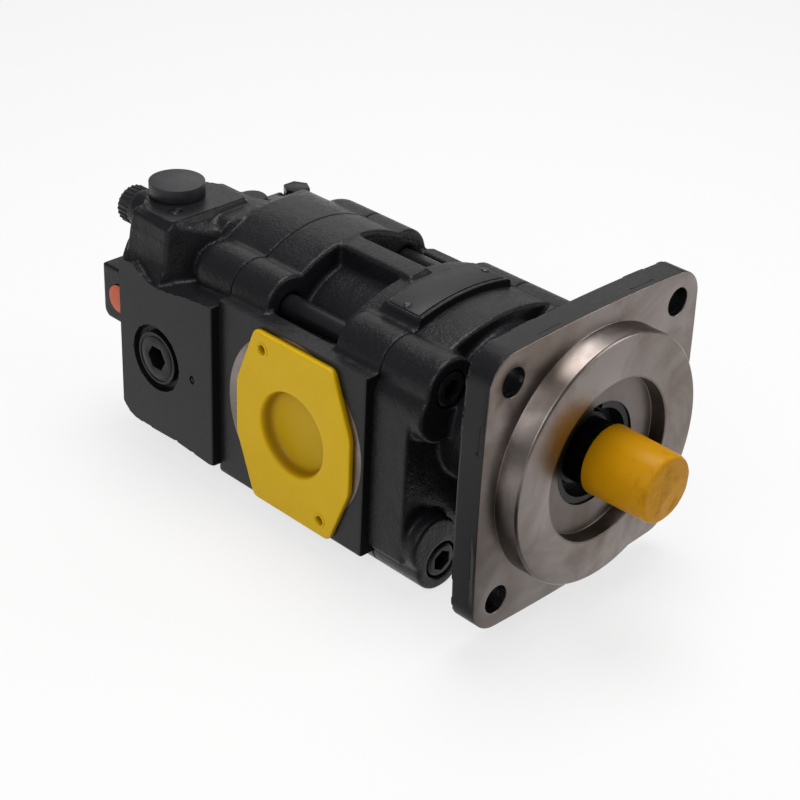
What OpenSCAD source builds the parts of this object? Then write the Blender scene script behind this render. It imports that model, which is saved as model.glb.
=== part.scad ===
// External gear pump with a square four-bolt flange, a splined shaft, a side suction port
// and a rear cover that holds a priority spool and a relief valve.
// Each module is drawn with x to the right, y up and z along the shaft towards its splined end.
// z is 0 at the flange's mounting face, and pump_frame() stands the part up with +Z as its top.

/* [Flange] */
// Half width of the flange at the middle of each side
flange_half = 74; // [71:0.5:80]
// How far each flange side bows out between its corners
flange_bow = 1.5; // [0.5:0.1:3]
// Radius of the flange corners
flange_corner_r = 16; // [10:1:20]
// Thickness of the flange
flange_t = 14; // [10:0.5:20]
// Spacing of the four mounting bolts, both ways
bolt_square = 114.5; // [112:0.5:117]
// Diameter of the mounting bolt holes
bolt_hole_d = 14.3; // [12:0.1:16]
// Radius of the pilot
pilot_r = 63.5; // [60:0.5:64]
// Height of the pilot above the mounting face
pilot_h = 12.7; // [10:0.1:14]
// Radius of the recess in the pilot's face
pilot_recess_r = 41; // [36:0.5:48]
// Depth of the recess in the pilot's face
pilot_recess_d = 8.3; // [4:0.1:9]
// Radius of the neck behind the flange
neck_r = 40; // [38:1:46]

/* [Casing] */
// Distance from the mounting face back to the front joint
front_joint = 81.5; // [78:0.5:90]
// Length of the pump body between the two joints
body_l = 105; // [100:1:115]
// Length of the front cover's head, at its tie-bolt lugs
head_l = 31.5; // [26:0.5:34]
// Half distance between the tie bolts, side to side
tie_x = 40; // [38:0.5:42]
// Distance between the tie bolts, up and down
tie_span = 95; // [92:0.5:98]
// Radius of the tie-bolt lugs
lug_r = 16; // [14:0.5:18]
// Height of the crowned top above the shaft
crown_top = 49.6; // [47:0.2:54]
// Radius of the crown at the rear joint
crown_rear_r = 67; // [60:1:80]
// Radius of the raised crown under the name plate
crown_front_r = 124; // [110:1:140]
// How far the crown's highest line lies to the right of the shaft
crown_x = 3; // [0:0.5:5]
// How far the front cover's top lies below the body's crown
crown_step = 3; // [1:0.5:5]
// Depth of the casing below the shaft, between the lower lugs
case_drop = 83; // [80:0.5:85]
// Half width of the front cover's cast sides
head_half = 60; // [58:0.5:62]
// Length of the body's rear flange
rear_flange_l = 26.5; // [20:0.5:32]
// Length of the body's front section
front_section_l = 36.5; // [32:0.5:48]
// Length of the front section's tie-bolt lugs
front_lug_l = 30.5; // [28:0.5:34]
// Radius of the crown over the front section
front_crown_r = 100; // [90:1:120]
// Half width of the spine between the two windows
spine_half = 7; // [5:0.5:10]
// Outer radius of the gear case round each shaft
core_r = 37; // [35:0.5:38]

/* [Gears] */
// Gear module
gear_module = 3.75; // [3.7:0.01:3.8]
// Number of teeth of each gear
gear_teeth = 12; // [12:1:12]
// Pressure angle of the teeth
pressure_angle = 28; // [26:0.5:30]
// Width of the gears
gear_w = 50; // [40:1:56]
// Radius of the gear journals
journal_r = 16; // [14.5:0.1:16.2]
// Gap between the gear tips and their chamber
tip_gap = 0.24; // [0.1:0.02:0.4]
// Free play between the tooth flanks in mesh
backlash = 0.16; // [0.1:0.02:0.3]
// Length of the shaft beyond the mounting face
shaft_out = 44.5; // [40:0.5:50]
// Number of spline teeth
spline_teeth = 14; // [12:1:16]
// Outer radius of the spline
spline_r = 15.6; // [14.6:0.1:15.8]
// Depth of the spline grooves
spline_d = 2.2; // [1.6:0.1:2.6]

/* [Suction port] */
// Distance of the suction pad from the shaft's centre plane
pad_x = 64; // [62:0.5:66]
// Distance of the port's centre behind the front joint
port_back = 47.8; // [46:0.5:52]
// Bore radius of the suction port
suction_r = 25.4; // [22:0.1:26]
// Long spacing of the suction flange bolts
suction_bolt_y = 77.8; // [76:0.1:79]
// Short spacing of the suction flange bolts
suction_bolt_z = 42.9; // [40:0.1:45]
// Diameter of the suction flange threads
suction_thread_d = 10.5; // [9:0.1:11]
// Thickness of the transit cover's plate
cover_t = 3; // [2:0.2:4]
// Depth of the dished middle of the transit cover
cover_dish = 8; // [5:0.5:12]

/* [Rear cover] */
// Distance of the machined side face from the shaft's centre plane
side_x = 68.5; // [66:0.5:72]
// Length of the machined side face
side_l = 74; // [70:1:80]
// Distance of the spool's axis behind the rear joint
spool_back = 45; // [42:0.5:48]
// Depth of the spool's axis below the shaft
spool_drop = 24.5; // [22:0.5:27]
// Radius of the priority spool's bore
spool_bore_r = 9; // [8:0.1:9.6]
// Length of the whole rear cover
rear_l = 99.5; // [97:0.5:104]
// Height of the top port's pad above the shaft
top_pad_y = 50; // [49:0.2:53]
// Distance of the top port from the shaft's centre plane
top_port_x = 32.5; // [31:0.5:34]
// Distance of the top port behind the rear joint
top_port_back = 69.5; // [67:0.5:71]
// How far the tapped hole stands in front of the top port
top_thread_z = 16.5; // [15.5:0.5:17.5]
// Thread diameter of the top port's bolts
top_thread_d = 6.8; // [6:0.1:8]
// Bore radius of the top port
top_bore_r = 10; // [8:0.5:11]
// Radius of the black cap on the top port
top_cap_r = 14.7; // [12:0.1:15]
// Height of the black cap above its pad
top_cap_h = 7.6; // [6:0.5:12]
// Outer radius of the ribbed cap
rib_cap_r = 10.5; // [9.8:0.1:13]
// Number of ribs on the ribbed cap
rib_count = 24; // [16:1:30]

/* [Valves] */
// Travel of the priority spool
spool_travel = 6; // [3:0.5:7]
// Travel of the relief poppet
poppet_travel = 1.5; // [0.5:0.25:2]
// Wire diameter of the spool spring
spool_wire = 1.8; // [1.2:0.1:2.2]
// Wire diameter of the relief spring
relief_wire = 1.2; // [0.8:0.1:1.4]

/* [Hidden] */

// Facets of round forms, large and small
fine = 180;
round_fn = 72;
// Overlap of a cut beyond the face it starts from
over = 1;
// Gap between parts that touch without a fit
seat_gap = 0.05;
// Radial clearance of a running fit
run_gap = 0.04;

// Planes across the shaft
front_z = -front_joint;
rear_z = front_z - body_l;
head_front_z = front_z + head_l;
flange_back_z = -flange_t;
recess_z = pilot_h - pilot_recess_d;
body_mid_z = (front_z + rear_z) / 2;

// Gear geometry
pitch_r = gear_module * gear_teeth / 2;
centre_distance = 2 * pitch_r;
base_r = pitch_r * cos(pressure_angle);
tip_r = pitch_r + 0.95 * gear_module;
root_r = pitch_r - 1.2 * gear_module;
chamber_r = tip_r + tip_gap;
flank_steps = 5;
half_tooth_angle = 90 / gear_teeth - backlash / 4 / pitch_r * 180 / PI;
block_play = 0.1;
block_l = (body_l - gear_w) / 2 - 2 * block_play;
bush_wall = 2;
bush_inner_r = journal_r + run_gap;
bush_outer_r = bush_inner_r + bush_wall;
axes_y = [0, -centre_distance];

// Tie bolts, M12 socket heads set into the front lugs
tie_r = 6;
tie_hole_r = 6.6;
tie_thread_gap = 0.1;
tie_head_r = 9;
tie_head_h = 12;
tie_counterbore_r = 9.75;
tie_socket = 10;
tie_socket_d = 6;
tie_engage = 24;
tie_mid_y = -centre_distance / 2;
tie_high_y = tie_mid_y + tie_span / 2;
tie_low_y = tie_mid_y - tie_span / 2;
tie_points = [
    [-tie_x, tie_high_y], [tie_x, tie_high_y], [-tie_x, tie_low_y], [tie_x, tie_low_y]
];
tie_seat_z = head_front_z - tie_head_h;
tie_end_z = rear_z - tie_engage;

// Casing outline
slab_inset = 0.6;
case_half = tie_x + lug_r - slab_inset;
crown_rear_half = tie_x - 3;
plate_pad_half = 31.5;
plate_middle = 1.5;
plate_pad_l = 25.5;
head_crown_half = tie_x + 4;
head_crown_back = 8;
pad_high_y = tie_high_y + 1;
pad_low_y = tie_low_y - 3.8;
pad_shoulder = 12;
rod_channel_r = 9;
window_rear_z = rear_z + rear_flange_l;
window_front_z = front_z - front_section_l;
front_lug_z = front_z - front_lug_l;
plate_pad_z = front_z - plate_pad_l;
spine_front_z = front_z - 29.5;
core_web_inset = 0.4;
spine_drop = 0.5;
delivery_x = 38;
delivery_r = 8;
delivery_pad_x = 60;

// Delivery pad on the far side, as [distance behind the front joint, height]
delivery_pad = [[18, -70], [18, 22], [43, 22], [61, 28], [73, 28], [81, 24], [81, -70]];

// Seals and dowels
seal_groove_in = 29;
seal_groove_out = 31.5;
seal_groove_d = 1.8;
seal_side_gap = 0.2;
block_groove_in = 20.4;
block_groove_out = 22.6;
block_groove_d = 2;
dowel_r = 4;
dowel_half_l = 8;
dowel_x = 48;
dowel_points = [[-dowel_x, axes_y[0]], [dowel_x, axes_y[1]]];
lip_seal_r = 26;
lip_seal_l = 9;
lip_seal_front = 1.4;
ring_t = 2;
ring_in_r = 22.5;
ring_groove_d = 1.2;
shaft_hole_r = journal_r + 1.5;

// Suction port and its transit cover
port_y = tie_mid_y;
port_z = front_z - port_back;
suction_thread_l = 14;
cover_half_y = 49;
cover_half_z = 40.5;
cover_flat_y = 22;
cover_flat_z = 27;
cover_corner_r = 3;
cup_gap = 0.4;
cup_wall = 2;
push_pin_r = 2.6;
push_pin_head_r = 3.4;
push_pin_head_h = 0.6;
push_pin_dimple_r = 2;
push_pin_dimple_d = 2;
push_pin_l = 11;

// Name plate on the crown of the body's front section
plate_front = 3;
plate_l = 20;
plate_half = 29.5;
plate_t = 0.8;
plate_rivet_r = 2.2;
plate_rivet_h = 0.9;
plate_rivet_x = 27;

// Rear cover
spool_z = rear_z - spool_back;
spool_y = -spool_drop;
side_far_x = 50;
side_back_z = rear_z - side_l;
spool_counterbore_r = 18.5;
spool_counterbore_d = 5;
spool_plug_r = 11;
spool_plug_l = 15.5;
spool_head_r = 14.5;
spool_head_h = 4.6;
spool_socket = 12;
spool_socket_d = 8;
spool_ring_groove = 1.2;
spool_left_x = -side_x + spool_counterbore_d + spool_plug_l;
spool_right_x = side_far_x - spool_counterbore_d - spool_plug_l;
spool_end_gap = 0.3;
spool_spring_l = 22;
spool_r = spool_bore_r - run_gap;
spool_l = spool_right_x - spool_left_x - spool_spring_l - 2 * spool_end_gap;
spool_groove_r = 5.6;
spring_guide_r = 3.6;
spring_guide_l = 8;
lug_round_z = rear_z - 21.5;
plate_back_z = rear_z - 25.5;
crown_back_z = rear_z - 32.5;
flank = [[-61, 27], [-57.5, 38], [-56, 48]];
flank_foot = [-66.5, 17];
block_front_x = -59.5;
block_far_x = 44;
block_low_y = -66;
block_high_y = 18;
shoulder_right = -8;
ramp_back_z = rear_z - 46;
top_port_z = rear_z - top_port_back;
top_bore_d = 7;
top_thread_l = 14;
top_thread_x = 14.5;
top_cap_stem = 6;
top_pad_t = 2;
top_pad_half = 24;
top_pad_front = 26;
top_pad_back = 16;
top_pad_corner = 5.5;
upper_back = 86;
top_boss_x = 12;
top_boss_back = 61;
top_boss_z = rear_z - top_boss_back;
top_boss_top_y = 39;
top_boss_r = 8;
shoulder_back = 75;
shoulder_z = rear_z - shoulder_back;
relief_x = -36;
relief_y = 34;
relief_bore_r = 7;
relief_boss_r = 11;
relief_boss_back = 93.5;
relief_boss_z = rear_z - relief_boss_back;
relief_bore_l = 40;
control_x = -60;
control_far_x = 14;
control_high_y = 8;
control_low_y = -23.5;
control_back = 85.5;
control_z = rear_z - control_back;
control_y = -8.5;
control_bore_r = 6.8;
control_bore_d = 12;
ball_plug_r = 2;
ball_plug_l = 5;
ball_plug_y = -25;
ball_plug_z = rear_z - 16;
hex_plug_x = 37;
hex_plug_z = rear_z - 53.5;
hex_plug_seat_y = 31.5;
hex_plug_head = 13;
hex_plug_head_h = 8;
hex_plug_r = 4.9;
hex_plug_l = 9;

// Side face of the rear cover as it is cast and milled, as [distance behind the joint, height]
side_outline = [
    [0, -70], [30, -68], [55, -69], [64, -68.5], [70, -66.5], [side_l, -62],
    [side_l, 20], [71, 22], [64, 24], [58, 21], [50, 17.6], [42, 17], [34, 18], [20, 20.5], [0, 22.6]
];

// Relief valve along its own axis
relief_seat_hole_r = 2.4;
relief_seat_t = 2.5;
relief_inner_r = 4.4;
relief_spring_l = 13;
relief_gap = 0.3;
relief_poppet_l = 9;
relief_poppet_r = relief_inner_r - 1.5 * run_gap;
relief_seat_z = relief_boss_z + relief_bore_l;
relief_poppet_z = relief_seat_z - relief_seat_t;
relief_spring_z = relief_poppet_z - relief_poppet_l;
relief_screw_z = relief_spring_z - relief_spring_l;
relief_screw_r = relief_inner_r - seat_gap;
relief_screw_end = relief_boss_z - 7;
relief_socket = 4;
relief_socket_d = 4;
lock_nut = 13;
lock_nut_t = 4.5;
rib_cap_l = 10.5;
rib_cap_collar_l = 2;
rib_cap_collar_r = 10;
rib_cap_wall = 2.2;
rib_depth = 0.8;
rib_w = 1.2;

// Frames and shared shapes

// Stand the pump up: local x, y, z become +X, +Z and -Y
module pump_frame() {
    rotate([90, 0, 0]) children();
}

// Extrude a section across the shaft between two planes
module between(z0, z1) {
    translate([0, 0, z0]) linear_extrude(z1 - z0) children();
}

// A round hole or rod along the shaft's direction
module rod_z(x, y, z0, z1, r, fn = round_fn) {
    translate([x, y, z0]) cylinder(r = r, h = z1 - z0, $fn = fn);
}

// A round hole or rod across the pump, along x
module rod_x(x0, x1, y, z, r, fn = round_fn) {
    translate([x0, y, z]) rotate([0, 90, 0]) cylinder(r = r, h = x1 - x0, $fn = fn);
}

// A round hole or rod up and down, along y
module rod_y(x, y0, y1, z, r, fn = round_fn) {
    translate([x, y0, z]) rotate([-90, 0, 0]) cylinder(r = r, h = y1 - y0, $fn = fn);
}

// Two discs round the gear axes
module twin_discs(r) {
    for (y = axes_y) translate([0, y]) circle(r = r, $fn = fine);
}

// Band that follows the two discs
module twin_band(r_in, r_out) {
    difference() {
        twin_discs(r_out);
        twin_discs(r_in);
    }
}

module tie_discs(r) {
    for (p = tie_points) translate(p) circle(r = r, $fn = round_fn);
}

// Part of a crown: a disc whose top is at the given height, cut to a half width each side of a middle
module crown(r, top, half, middle = 0) {
    intersection() {
        translate([crown_x, top - r]) circle(r = r, $fn = fine);
        translate([middle - half, 0]) square([2 * half, top + over]);
    }
}

// Outline of the casing across the shaft
module case_outline(r, top, half) {
    tie_discs(lug_r);
    crown(r, top, half);
    translate([-case_half, tie_low_y]) square([2 * case_half, tie_span]);
    translate([-tie_x, -case_drop]) square([2 * tie_x, case_drop]);
}

// Hexagon across flats
module hexagon(flats) {
    circle(r = flats / 2 / cos(30), $fn = 6);
}

// Coil spring along z from 0 to its length
module coil(mean_r, wire, length, turns, sides = 8, steps = 18) {
    rise = length - wire;
    rings = turns * steps;
    points = [
        for (i = [0:rings]) for (k = [0:sides - 1])
            let (a = 360 * i / steps, b = 360 * k / sides, r = mean_r + wire / 2 * cos(b))
                [r * cos(a), r * sin(a), wire / 2 + rise * i / rings + wire / 2 * sin(b)]
    ];
    walls = [
        for (i = [0:rings - 1]) for (k = [0:sides - 1])
            let (a = i * sides + k, b = i * sides + (k + 1) % sides)
                [a, a + sides, b + sides, b]
    ];
    first = [for (k = [0:sides - 1]) k];
    last = [for (k = [sides - 1:-1:0]) rings * sides + k];
    polyhedron(points = points, faces = concat([first], walls, [last]), convexity = 10);
}

// Involute gears

function involute(a) = tan(a) * 180 / PI - a;
function half_angle(r) =
    half_tooth_angle + involute(pressure_angle) - (r > base_r ? involute(acos(base_r / r)) : 0);
function flank_r(i) = i < 0 ? root_r : base_r + (tip_r - base_r) * i / flank_steps;
function polar(r, a) = [r * cos(a), r * sin(a)];

module gear_section() {
    pitch = 360 / gear_teeth;
    points = [
        for (t = [0:gear_teeth - 1]) each concat(
            [for (i = [-1:flank_steps]) polar(flank_r(i), t * pitch - half_angle(flank_r(i)))],
            [for (i = [flank_steps:-1:-1]) polar(flank_r(i), t * pitch + half_angle(flank_r(i)))]
        )
    ];
    polygon(points);
}

module spline_section() {
    pitch = 360 / spline_teeth;
    foot = pitch * 0.34;
    tip = pitch * 0.2;
    points = [
        for (t = [0:spline_teeth - 1]) each [
            polar(spline_r - spline_d, t * pitch - foot), polar(spline_r, t * pitch - tip),
            polar(spline_r, t * pitch + tip), polar(spline_r - spline_d, t * pitch + foot)
        ]
    ];
    polygon(points);
}

// Castings

module flange_section() {
    corner = flange_half - flange_bow - flange_corner_r;
    bow_r = (corner * corner + flange_bow * flange_bow) / (2 * flange_bow);
    for (sx = [-1, 1]) for (sy = [-1, 1])
        translate([sx * corner, sy * corner]) circle(r = flange_corner_r, $fn = round_fn);
    intersection() {
        bowed_square(bow_r);
        union() {
            square([2 * corner, 2 * flange_half + over], center = true);
            square([2 * flange_half + over, 2 * corner], center = true);
        }
    }
}

// Area inside four wide arcs, one for each bowed side
module bowed_square(bow_r) {
    intersection() {
        intersection() {
            translate([bow_r - flange_half, 0]) circle(r = bow_r, $fn = 720);
            translate([flange_half - bow_r, 0]) circle(r = bow_r, $fn = 720);
        }
        intersection() {
            translate([0, bow_r - flange_half]) circle(r = bow_r, $fn = 720);
            translate([0, flange_half - bow_r]) circle(r = bow_r, $fn = 720);
        }
    }
}

// Lug faces of the front cover, each widened towards the casing's side
module head_lugs() {
    lower_shift = 11;
    tie_discs(lug_r);
    for (sx = [-1, 1]) for (y = [tie_high_y - lower_shift, tie_low_y + lower_shift])
        translate([sx * (head_half - lug_r + 1), y]) circle(r = lug_r - 1, $fn = round_fn);
}

module head_section() {
    case_outline(front_crown_r, crown_top - crown_step, head_crown_half);
    head_lugs();
    translate([-head_half, tie_low_y + 2]) square([2 * head_half, tie_span - 14]);
}

module front_cover() {
    chamfer = 1;
    color("#33312f") pump_frame() difference() {
        union() {
            between(flange_back_z, 0) flange_section();
            rod_z(0, 0, -over, pilot_h - chamfer, pilot_r, fine);
            translate([0, 0, pilot_h - chamfer])
                cylinder(r1 = pilot_r, r2 = pilot_r - chamfer, h = chamfer, $fn = fine);
            rod_z(0, 0, head_front_z - head_crown_back - over, flange_back_z + over, neck_r, fine);
            between(head_front_z - head_crown_back - over, flange_back_z + over)
                translate([-neck_r / 2, -centre_distance - neck_r / 3]) square([neck_r, centre_distance]);
            between(front_z, head_front_z - head_crown_back) head_section();
            between(front_z + over, head_front_z) head_lugs();
        }
        // Recess, seal bore and shaft hole
        rod_z(0, 0, recess_z, pilot_h + over, pilot_recess_r, fine);
        rod_z(0, 0, lip_seal_front - lip_seal_l - ring_t, recess_z + over, lip_seal_r, fine);
        rod_z(0, 0, lip_seal_front, lip_seal_front + ring_t, lip_seal_r + ring_groove_d, fine);
        rod_z(0, 0, front_z - over, recess_z, shaft_hole_r);
        // Mounting bolt holes
        for (sx = [-1, 1]) for (sy = [-1, 1])
            rod_z(sx * bolt_square / 2, sy * bolt_square / 2, flange_back_z - over, over, bolt_hole_d / 2);
        // Tie bolts and dowels
        for (p = tie_points) {
            rod_z(p[0], p[1], front_z - over, tie_seat_z + over, tie_hole_r);
            rod_z(p[0], p[1], tie_seat_z, head_front_z + over, tie_counterbore_r);
        }
        for (p = dowel_points)
            rod_z(p[0], p[1], front_z - over, front_z + dowel_half_l + seat_gap, dowel_r + seat_gap, 48);
    }
}

// Suction pad, with a channel above and below it for the tie bolts
module pad_section(half) {
    channel_x = tie_x + rod_channel_r + 1;
    shoulder_x = pad_x - pad_shoulder;
    polygon([
        [-half, pad_low_y], [-half, pad_high_y], [-shoulder_x, pad_high_y],
        [-channel_x, tie_high_y - rod_channel_r], [0, tie_high_y - rod_channel_r],
        [0, tie_low_y + rod_channel_r], [-channel_x, tie_low_y + rod_channel_r],
        [-shoulder_x, pad_low_y]
    ]);
}

// Front of the gear case, whose crown runs on into the front cover's
module front_core_section() {
    crown(front_crown_r, crown_top - crown_step, head_crown_half);
    translate([-case_half, tie_low_y]) square([2 * case_half, tie_span]);
    translate([-tie_x, -case_drop]) square([2 * tie_x, case_drop]);
}

// Spines that join the two ends of the body above and below the gear case
module spine_section() {
    crown(crown_rear_r, crown_top - spine_drop, spine_half);
    translate([-spine_half, spine_drop - case_drop]) square([2 * spine_half, case_drop]);
}

// Gear case and the delivery side
module core_section() {
    web = core_r - core_web_inset;
    twin_discs(core_r);
    translate([-web, -centre_distance]) square([2 * web, centre_distance]);
    translate([0, tie_low_y + rod_channel_r]) square([case_half - 4, tie_span - 2 * rod_channel_r]);
}

module plate_ring(r_in, r_out, z0, z1, half) {
    intersection() {
        translate([crown_x, crown_top - crown_front_r, z0]) difference() {
            cylinder(r = r_out, h = z1 - z0, $fn = fine);
            translate([0, 0, -over]) cylinder(r = r_in, h = z1 - z0 + 2 * over, $fn = fine);
        }
        translate([plate_middle - half, 0, z0]) cube([2 * half, crown_top + over, z1 - z0]);
    }
}

module pump_body() {
    plate_gap = 0.4;
    plate_z = front_z - plate_front - plate_l;
    color("#2c2a2c") pump_frame() difference() {
        union() {
            between(rear_z, window_rear_z) case_outline(crown_rear_r, crown_top, crown_rear_half);
            between(front_lug_z, front_z) tie_discs(lug_r);
            between(window_front_z, front_z) front_core_section();
            between(plate_pad_z, front_z) crown(crown_front_r, crown_top, plate_pad_half, plate_middle);
            between(rear_z + over, front_z - over) core_section();
            between(rear_z + over, spine_front_z) spine_section();
            between(rear_z, front_z) pad_section(pad_x);
            intersection() {
                between(rear_z + over, front_z - over) mirror([1, 0]) pad_section(delivery_pad_x);
                across(0, delivery_pad_x + over, front_z) polygon(delivery_pad);
            }
        }
        // Gear chamber
        between(rear_z - over, front_z + over) twin_discs(chamber_r);
        // Suction port and its flange threads
        rod_x(-pad_x - over, -chamber_r / 2, port_y, port_z, suction_r, fine);
        for (sy = [-1, 1]) for (sz = [-1, 1])
            rod_x(-pad_x - over, -pad_x + suction_thread_l, port_y + sy * suction_bolt_y / 2,
                port_z + sz * suction_bolt_z / 2, suction_thread_d / 2, 48);
        // Delivery passage to the rear cover
        rod_z(delivery_x, port_y, rear_z - over, port_z + delivery_r, delivery_r);
        rod_x(0, delivery_x, port_y, port_z, delivery_r);
        // Tie bolts, dowels and seal grooves
        for (p = tie_points) rod_z(p[0], p[1], rear_z - over, front_z + over, tie_hole_r);
        for (p = dowel_points) {
            rod_z(p[0], p[1], front_z - dowel_half_l - seat_gap, front_z + over, dowel_r + seat_gap, 48);
            rod_z(p[0], p[1], rear_z - over, rear_z + dowel_half_l + seat_gap, dowel_r + seat_gap, 48);
        }
        between(front_z - seal_groove_d, front_z + over) twin_band(seal_groove_in, seal_groove_out);
        between(rear_z - over, rear_z + seal_groove_d) twin_band(seal_groove_in, seal_groove_out);
        // Seat of the name plate
        plate_ring(crown_front_r - plate_t, crown_front_r + over, plate_z - plate_gap,
            front_z - plate_front + plate_gap, plate_half + plate_gap);
        for (sx = [-1, 1]) rivet_axis(sx) cylinder(r = 1.3, h = 8, center = true, $fn = 32);
    }
}

// Cast top of the rear cover, in three steps from the crown back to its rear
module ramp_section() {
    polygon([[-34, 0], [-34, 43], [-28, 46.5], [-8, 47], [6, 44], [10, 0]]);
}

// The step under the front of the top pad
module shoulder_section() {
    polygon(concat(
        [[flank_foot[0], 0], flank_foot], flank, [[shoulder_right, flank[2][1]], [8, 36], [8, 0]]
    ));
}

// The lower step behind it, under the rear of the top pad
module back_shoulder_section() {
    polygon([[-60, 18], [-56.5, 25.6], [-51, 31], [-47, 40], [-8, 40], [8, 30], [8, 0], [-60, 0]]);
}

// Outline of the top pad, seen from above, as [x, distance behind the joint]
module top_pad_outline(grow) {
    front = top_port_back - top_pad_front - grow;
    back = top_port_back + top_pad_back + grow;
    left = -top_port_x - top_pad_half - grow;
    right = -top_port_x + top_pad_half + grow;
    polygon([
        [left, front], [right, front], [right, back - 20], [right - 6, back - 6], [right - 16, back],
        [left + 22, back], [left + 9, back - 9], [left, top_port_back - top_pad_corner]
    ]);
}

// Draw a plan of x and distance behind the rear joint, upwards from one height to another
module plan(y0, y1) {
    translate([0, y0, rear_z]) rotate([-90, 0, 0]) linear_extrude(y1 - y0) children();
}

// Draw an outline of distance behind a joint and height, across from one x to another
module across(x0, x1, joint_z = rear_z) {
    translate([x0, 0, joint_z]) rotate([0, 90, 0]) linear_extrude(x1 - x0) children();
}

module rear_cover() {
    upper_z = rear_z - upper_back;
    color("#2e2c2e") pump_frame() difference() {
        union() {
            // Lug plate with rounded lug ends, and the crown that runs back from it
            between(plate_back_z + 4, rear_z) case_outline(crown_rear_r, crown_top, crown_rear_half);
            for (p = tie_points) {
                rod_z(p[0], p[1], lug_round_z, rear_z - over, lug_r);
                translate([p[0], p[1], lug_round_z]) sphere(r = lug_r, $fn = round_fn);
            }
            between(crown_back_z, rear_z - over) crown(crown_rear_r, crown_top, crown_rear_half - 3);
            // Machined side face and the valve block behind it
            across(-side_x, -tie_x) side_face_outline();
            between(upper_z + 4, rear_z - over)
                translate([block_front_x, block_low_y])
                    square([block_far_x - block_front_x, block_high_y - block_low_y]);
            between(ramp_back_z - over, crown_back_z + over) ramp_section();
            between(shoulder_z, ramp_back_z) shoulder_section();
            between(side_back_z - 9, shoulder_z + over) back_shoulder_section();
            rod_x(side_far_x - 12, side_far_x, spool_y, spool_z, spool_counterbore_r + 4);
            // Block under the top port, and the cast slope in front of it
            plan(0, top_pad_y - top_pad_t) top_pad_outline(1);
            plan(top_pad_y - top_pad_t - over, top_pad_y) top_pad_outline(0);
            intersection() {
                across(-crown_rear_half, crown_rear_half) polygon(upper_profile());
                between(upper_z, rear_z) crown(crown_rear_r, crown_top, crown_rear_half - 1);
            }
            rod_y(top_boss_x, 0, top_boss_top_y, top_boss_z, top_boss_r);
            rod_z(relief_x, relief_y, relief_boss_z, upper_z + 20, relief_boss_r);
            rod_y(hex_plug_x, 0, hex_plug_seat_y, hex_plug_z, hex_plug_head / 2 + 2.5);
            // Rear control block
            across(control_x, control_far_x) polygon([
                [upper_back - 20, control_low_y], [rear_l - 3, control_low_y], [rear_l, control_low_y + 3],
                [rear_l, control_high_y], [upper_back - 20, control_high_y]
            ]);
        }
        rear_cover_bores();
    }
}

// The side outline, turned to suit across(): its first axis runs back from the joint
module side_face_outline() {
    polygon([for (p = side_outline) [p[0], p[1]]]);
}

// Profile of the cast top behind the crown, as [distance behind the joint, height]
function upper_profile() = [
    [20, -over], [20, crown_top - 3], [33, crown_top - 3], [42, crown_top - 6],
    [52, crown_top - 12], [66, crown_top - 17], [upper_back - 4, 12], [upper_back - 4, -over]
];

module rear_cover_bores() {
    // Tie bolts and dowels
    for (p = tie_points) rod_z(p[0], p[1], tie_end_z - 3, rear_z + over, tie_r + tie_thread_gap);
    for (p = dowel_points)
        rod_z(p[0], p[1], rear_z - dowel_half_l - seat_gap, rear_z + over, dowel_r + seat_gap, 48);
    // Delivery passage and spool bore with its plug seats
    rod_z(delivery_x, port_y, spool_z, rear_z + over, delivery_r);
    rod_x(-side_x - over, side_far_x + over, spool_y, spool_z, spool_bore_r);
    rod_x(-side_x - over, spool_left_x + spool_end_gap, spool_y, spool_z, spool_plug_r + seat_gap);
    rod_x(spool_right_x - spool_end_gap, side_far_x + over, spool_y, spool_z, spool_plug_r + seat_gap);
    rod_x(-side_x - over, -side_x + spool_counterbore_d, spool_y, spool_z, spool_counterbore_r, fine);
    rod_x(side_far_x - spool_counterbore_d, side_far_x + over, spool_y, spool_z, spool_counterbore_r, fine);
    // Top port, and the tapped hole in front of it
    rod_y(-top_port_x, top_pad_y - top_bore_d, top_pad_y + over, top_port_z, top_bore_r);
    rod_y(-top_port_x - top_thread_x, top_pad_y - top_thread_l, top_pad_y + over, top_port_z + top_thread_z,
        top_thread_d / 2, 48);
    // Relief valve, control port and gallery plugs
    rod_z(relief_x, relief_y, relief_boss_z - over, relief_seat_z + seat_gap, relief_bore_r);
    rod_x(control_x - over, control_x + control_bore_d, control_y, control_z, control_bore_r);
    rod_x(-side_x - over, -side_x + ball_plug_l, ball_plug_y, ball_plug_z, ball_plug_r + seat_gap, 32);
    rod_y(hex_plug_x, hex_plug_seat_y - hex_plug_l - over, hex_plug_seat_y + over, hex_plug_z,
        hex_plug_r + seat_gap, 48);
    rod_y(hex_plug_x, hex_plug_seat_y, hex_plug_seat_y + hex_plug_head_h, hex_plug_z, hex_plug_head / 2 + 3);
}

// Rotating group

module gear_body() {
    between(body_mid_z - gear_w / 2, body_mid_z + gear_w / 2) gear_section();
}

module drive_gear_shaft() {
    spline_start = 7;
    chamfer = 1.5;
    color("#8b8d90") pump_frame() {
        gear_body();
        rod_z(0, 0, rear_z + 0.5, body_mid_z + over, journal_r);
        rod_z(0, 0, body_mid_z - over, spline_start, journal_r);
        between(spline_start - over, shaft_out - chamfer) spline_section();
        translate([0, 0, shaft_out - chamfer - over])
            cylinder(
                r1 = spline_r - spline_d, r2 = spline_r - spline_d - chamfer,
                h = chamfer + over, $fn = round_fn
            );
    }
}

module driven_gear_shaft() {
    color("#8b8d90") pump_frame() translate([0, -centre_distance, 0]) {
        rotate([0, 0, 180 / gear_teeth]) gear_body();
        rod_z(0, 0, rear_z + 0.5, front_z - 0.5, journal_r);
    }
}

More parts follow.
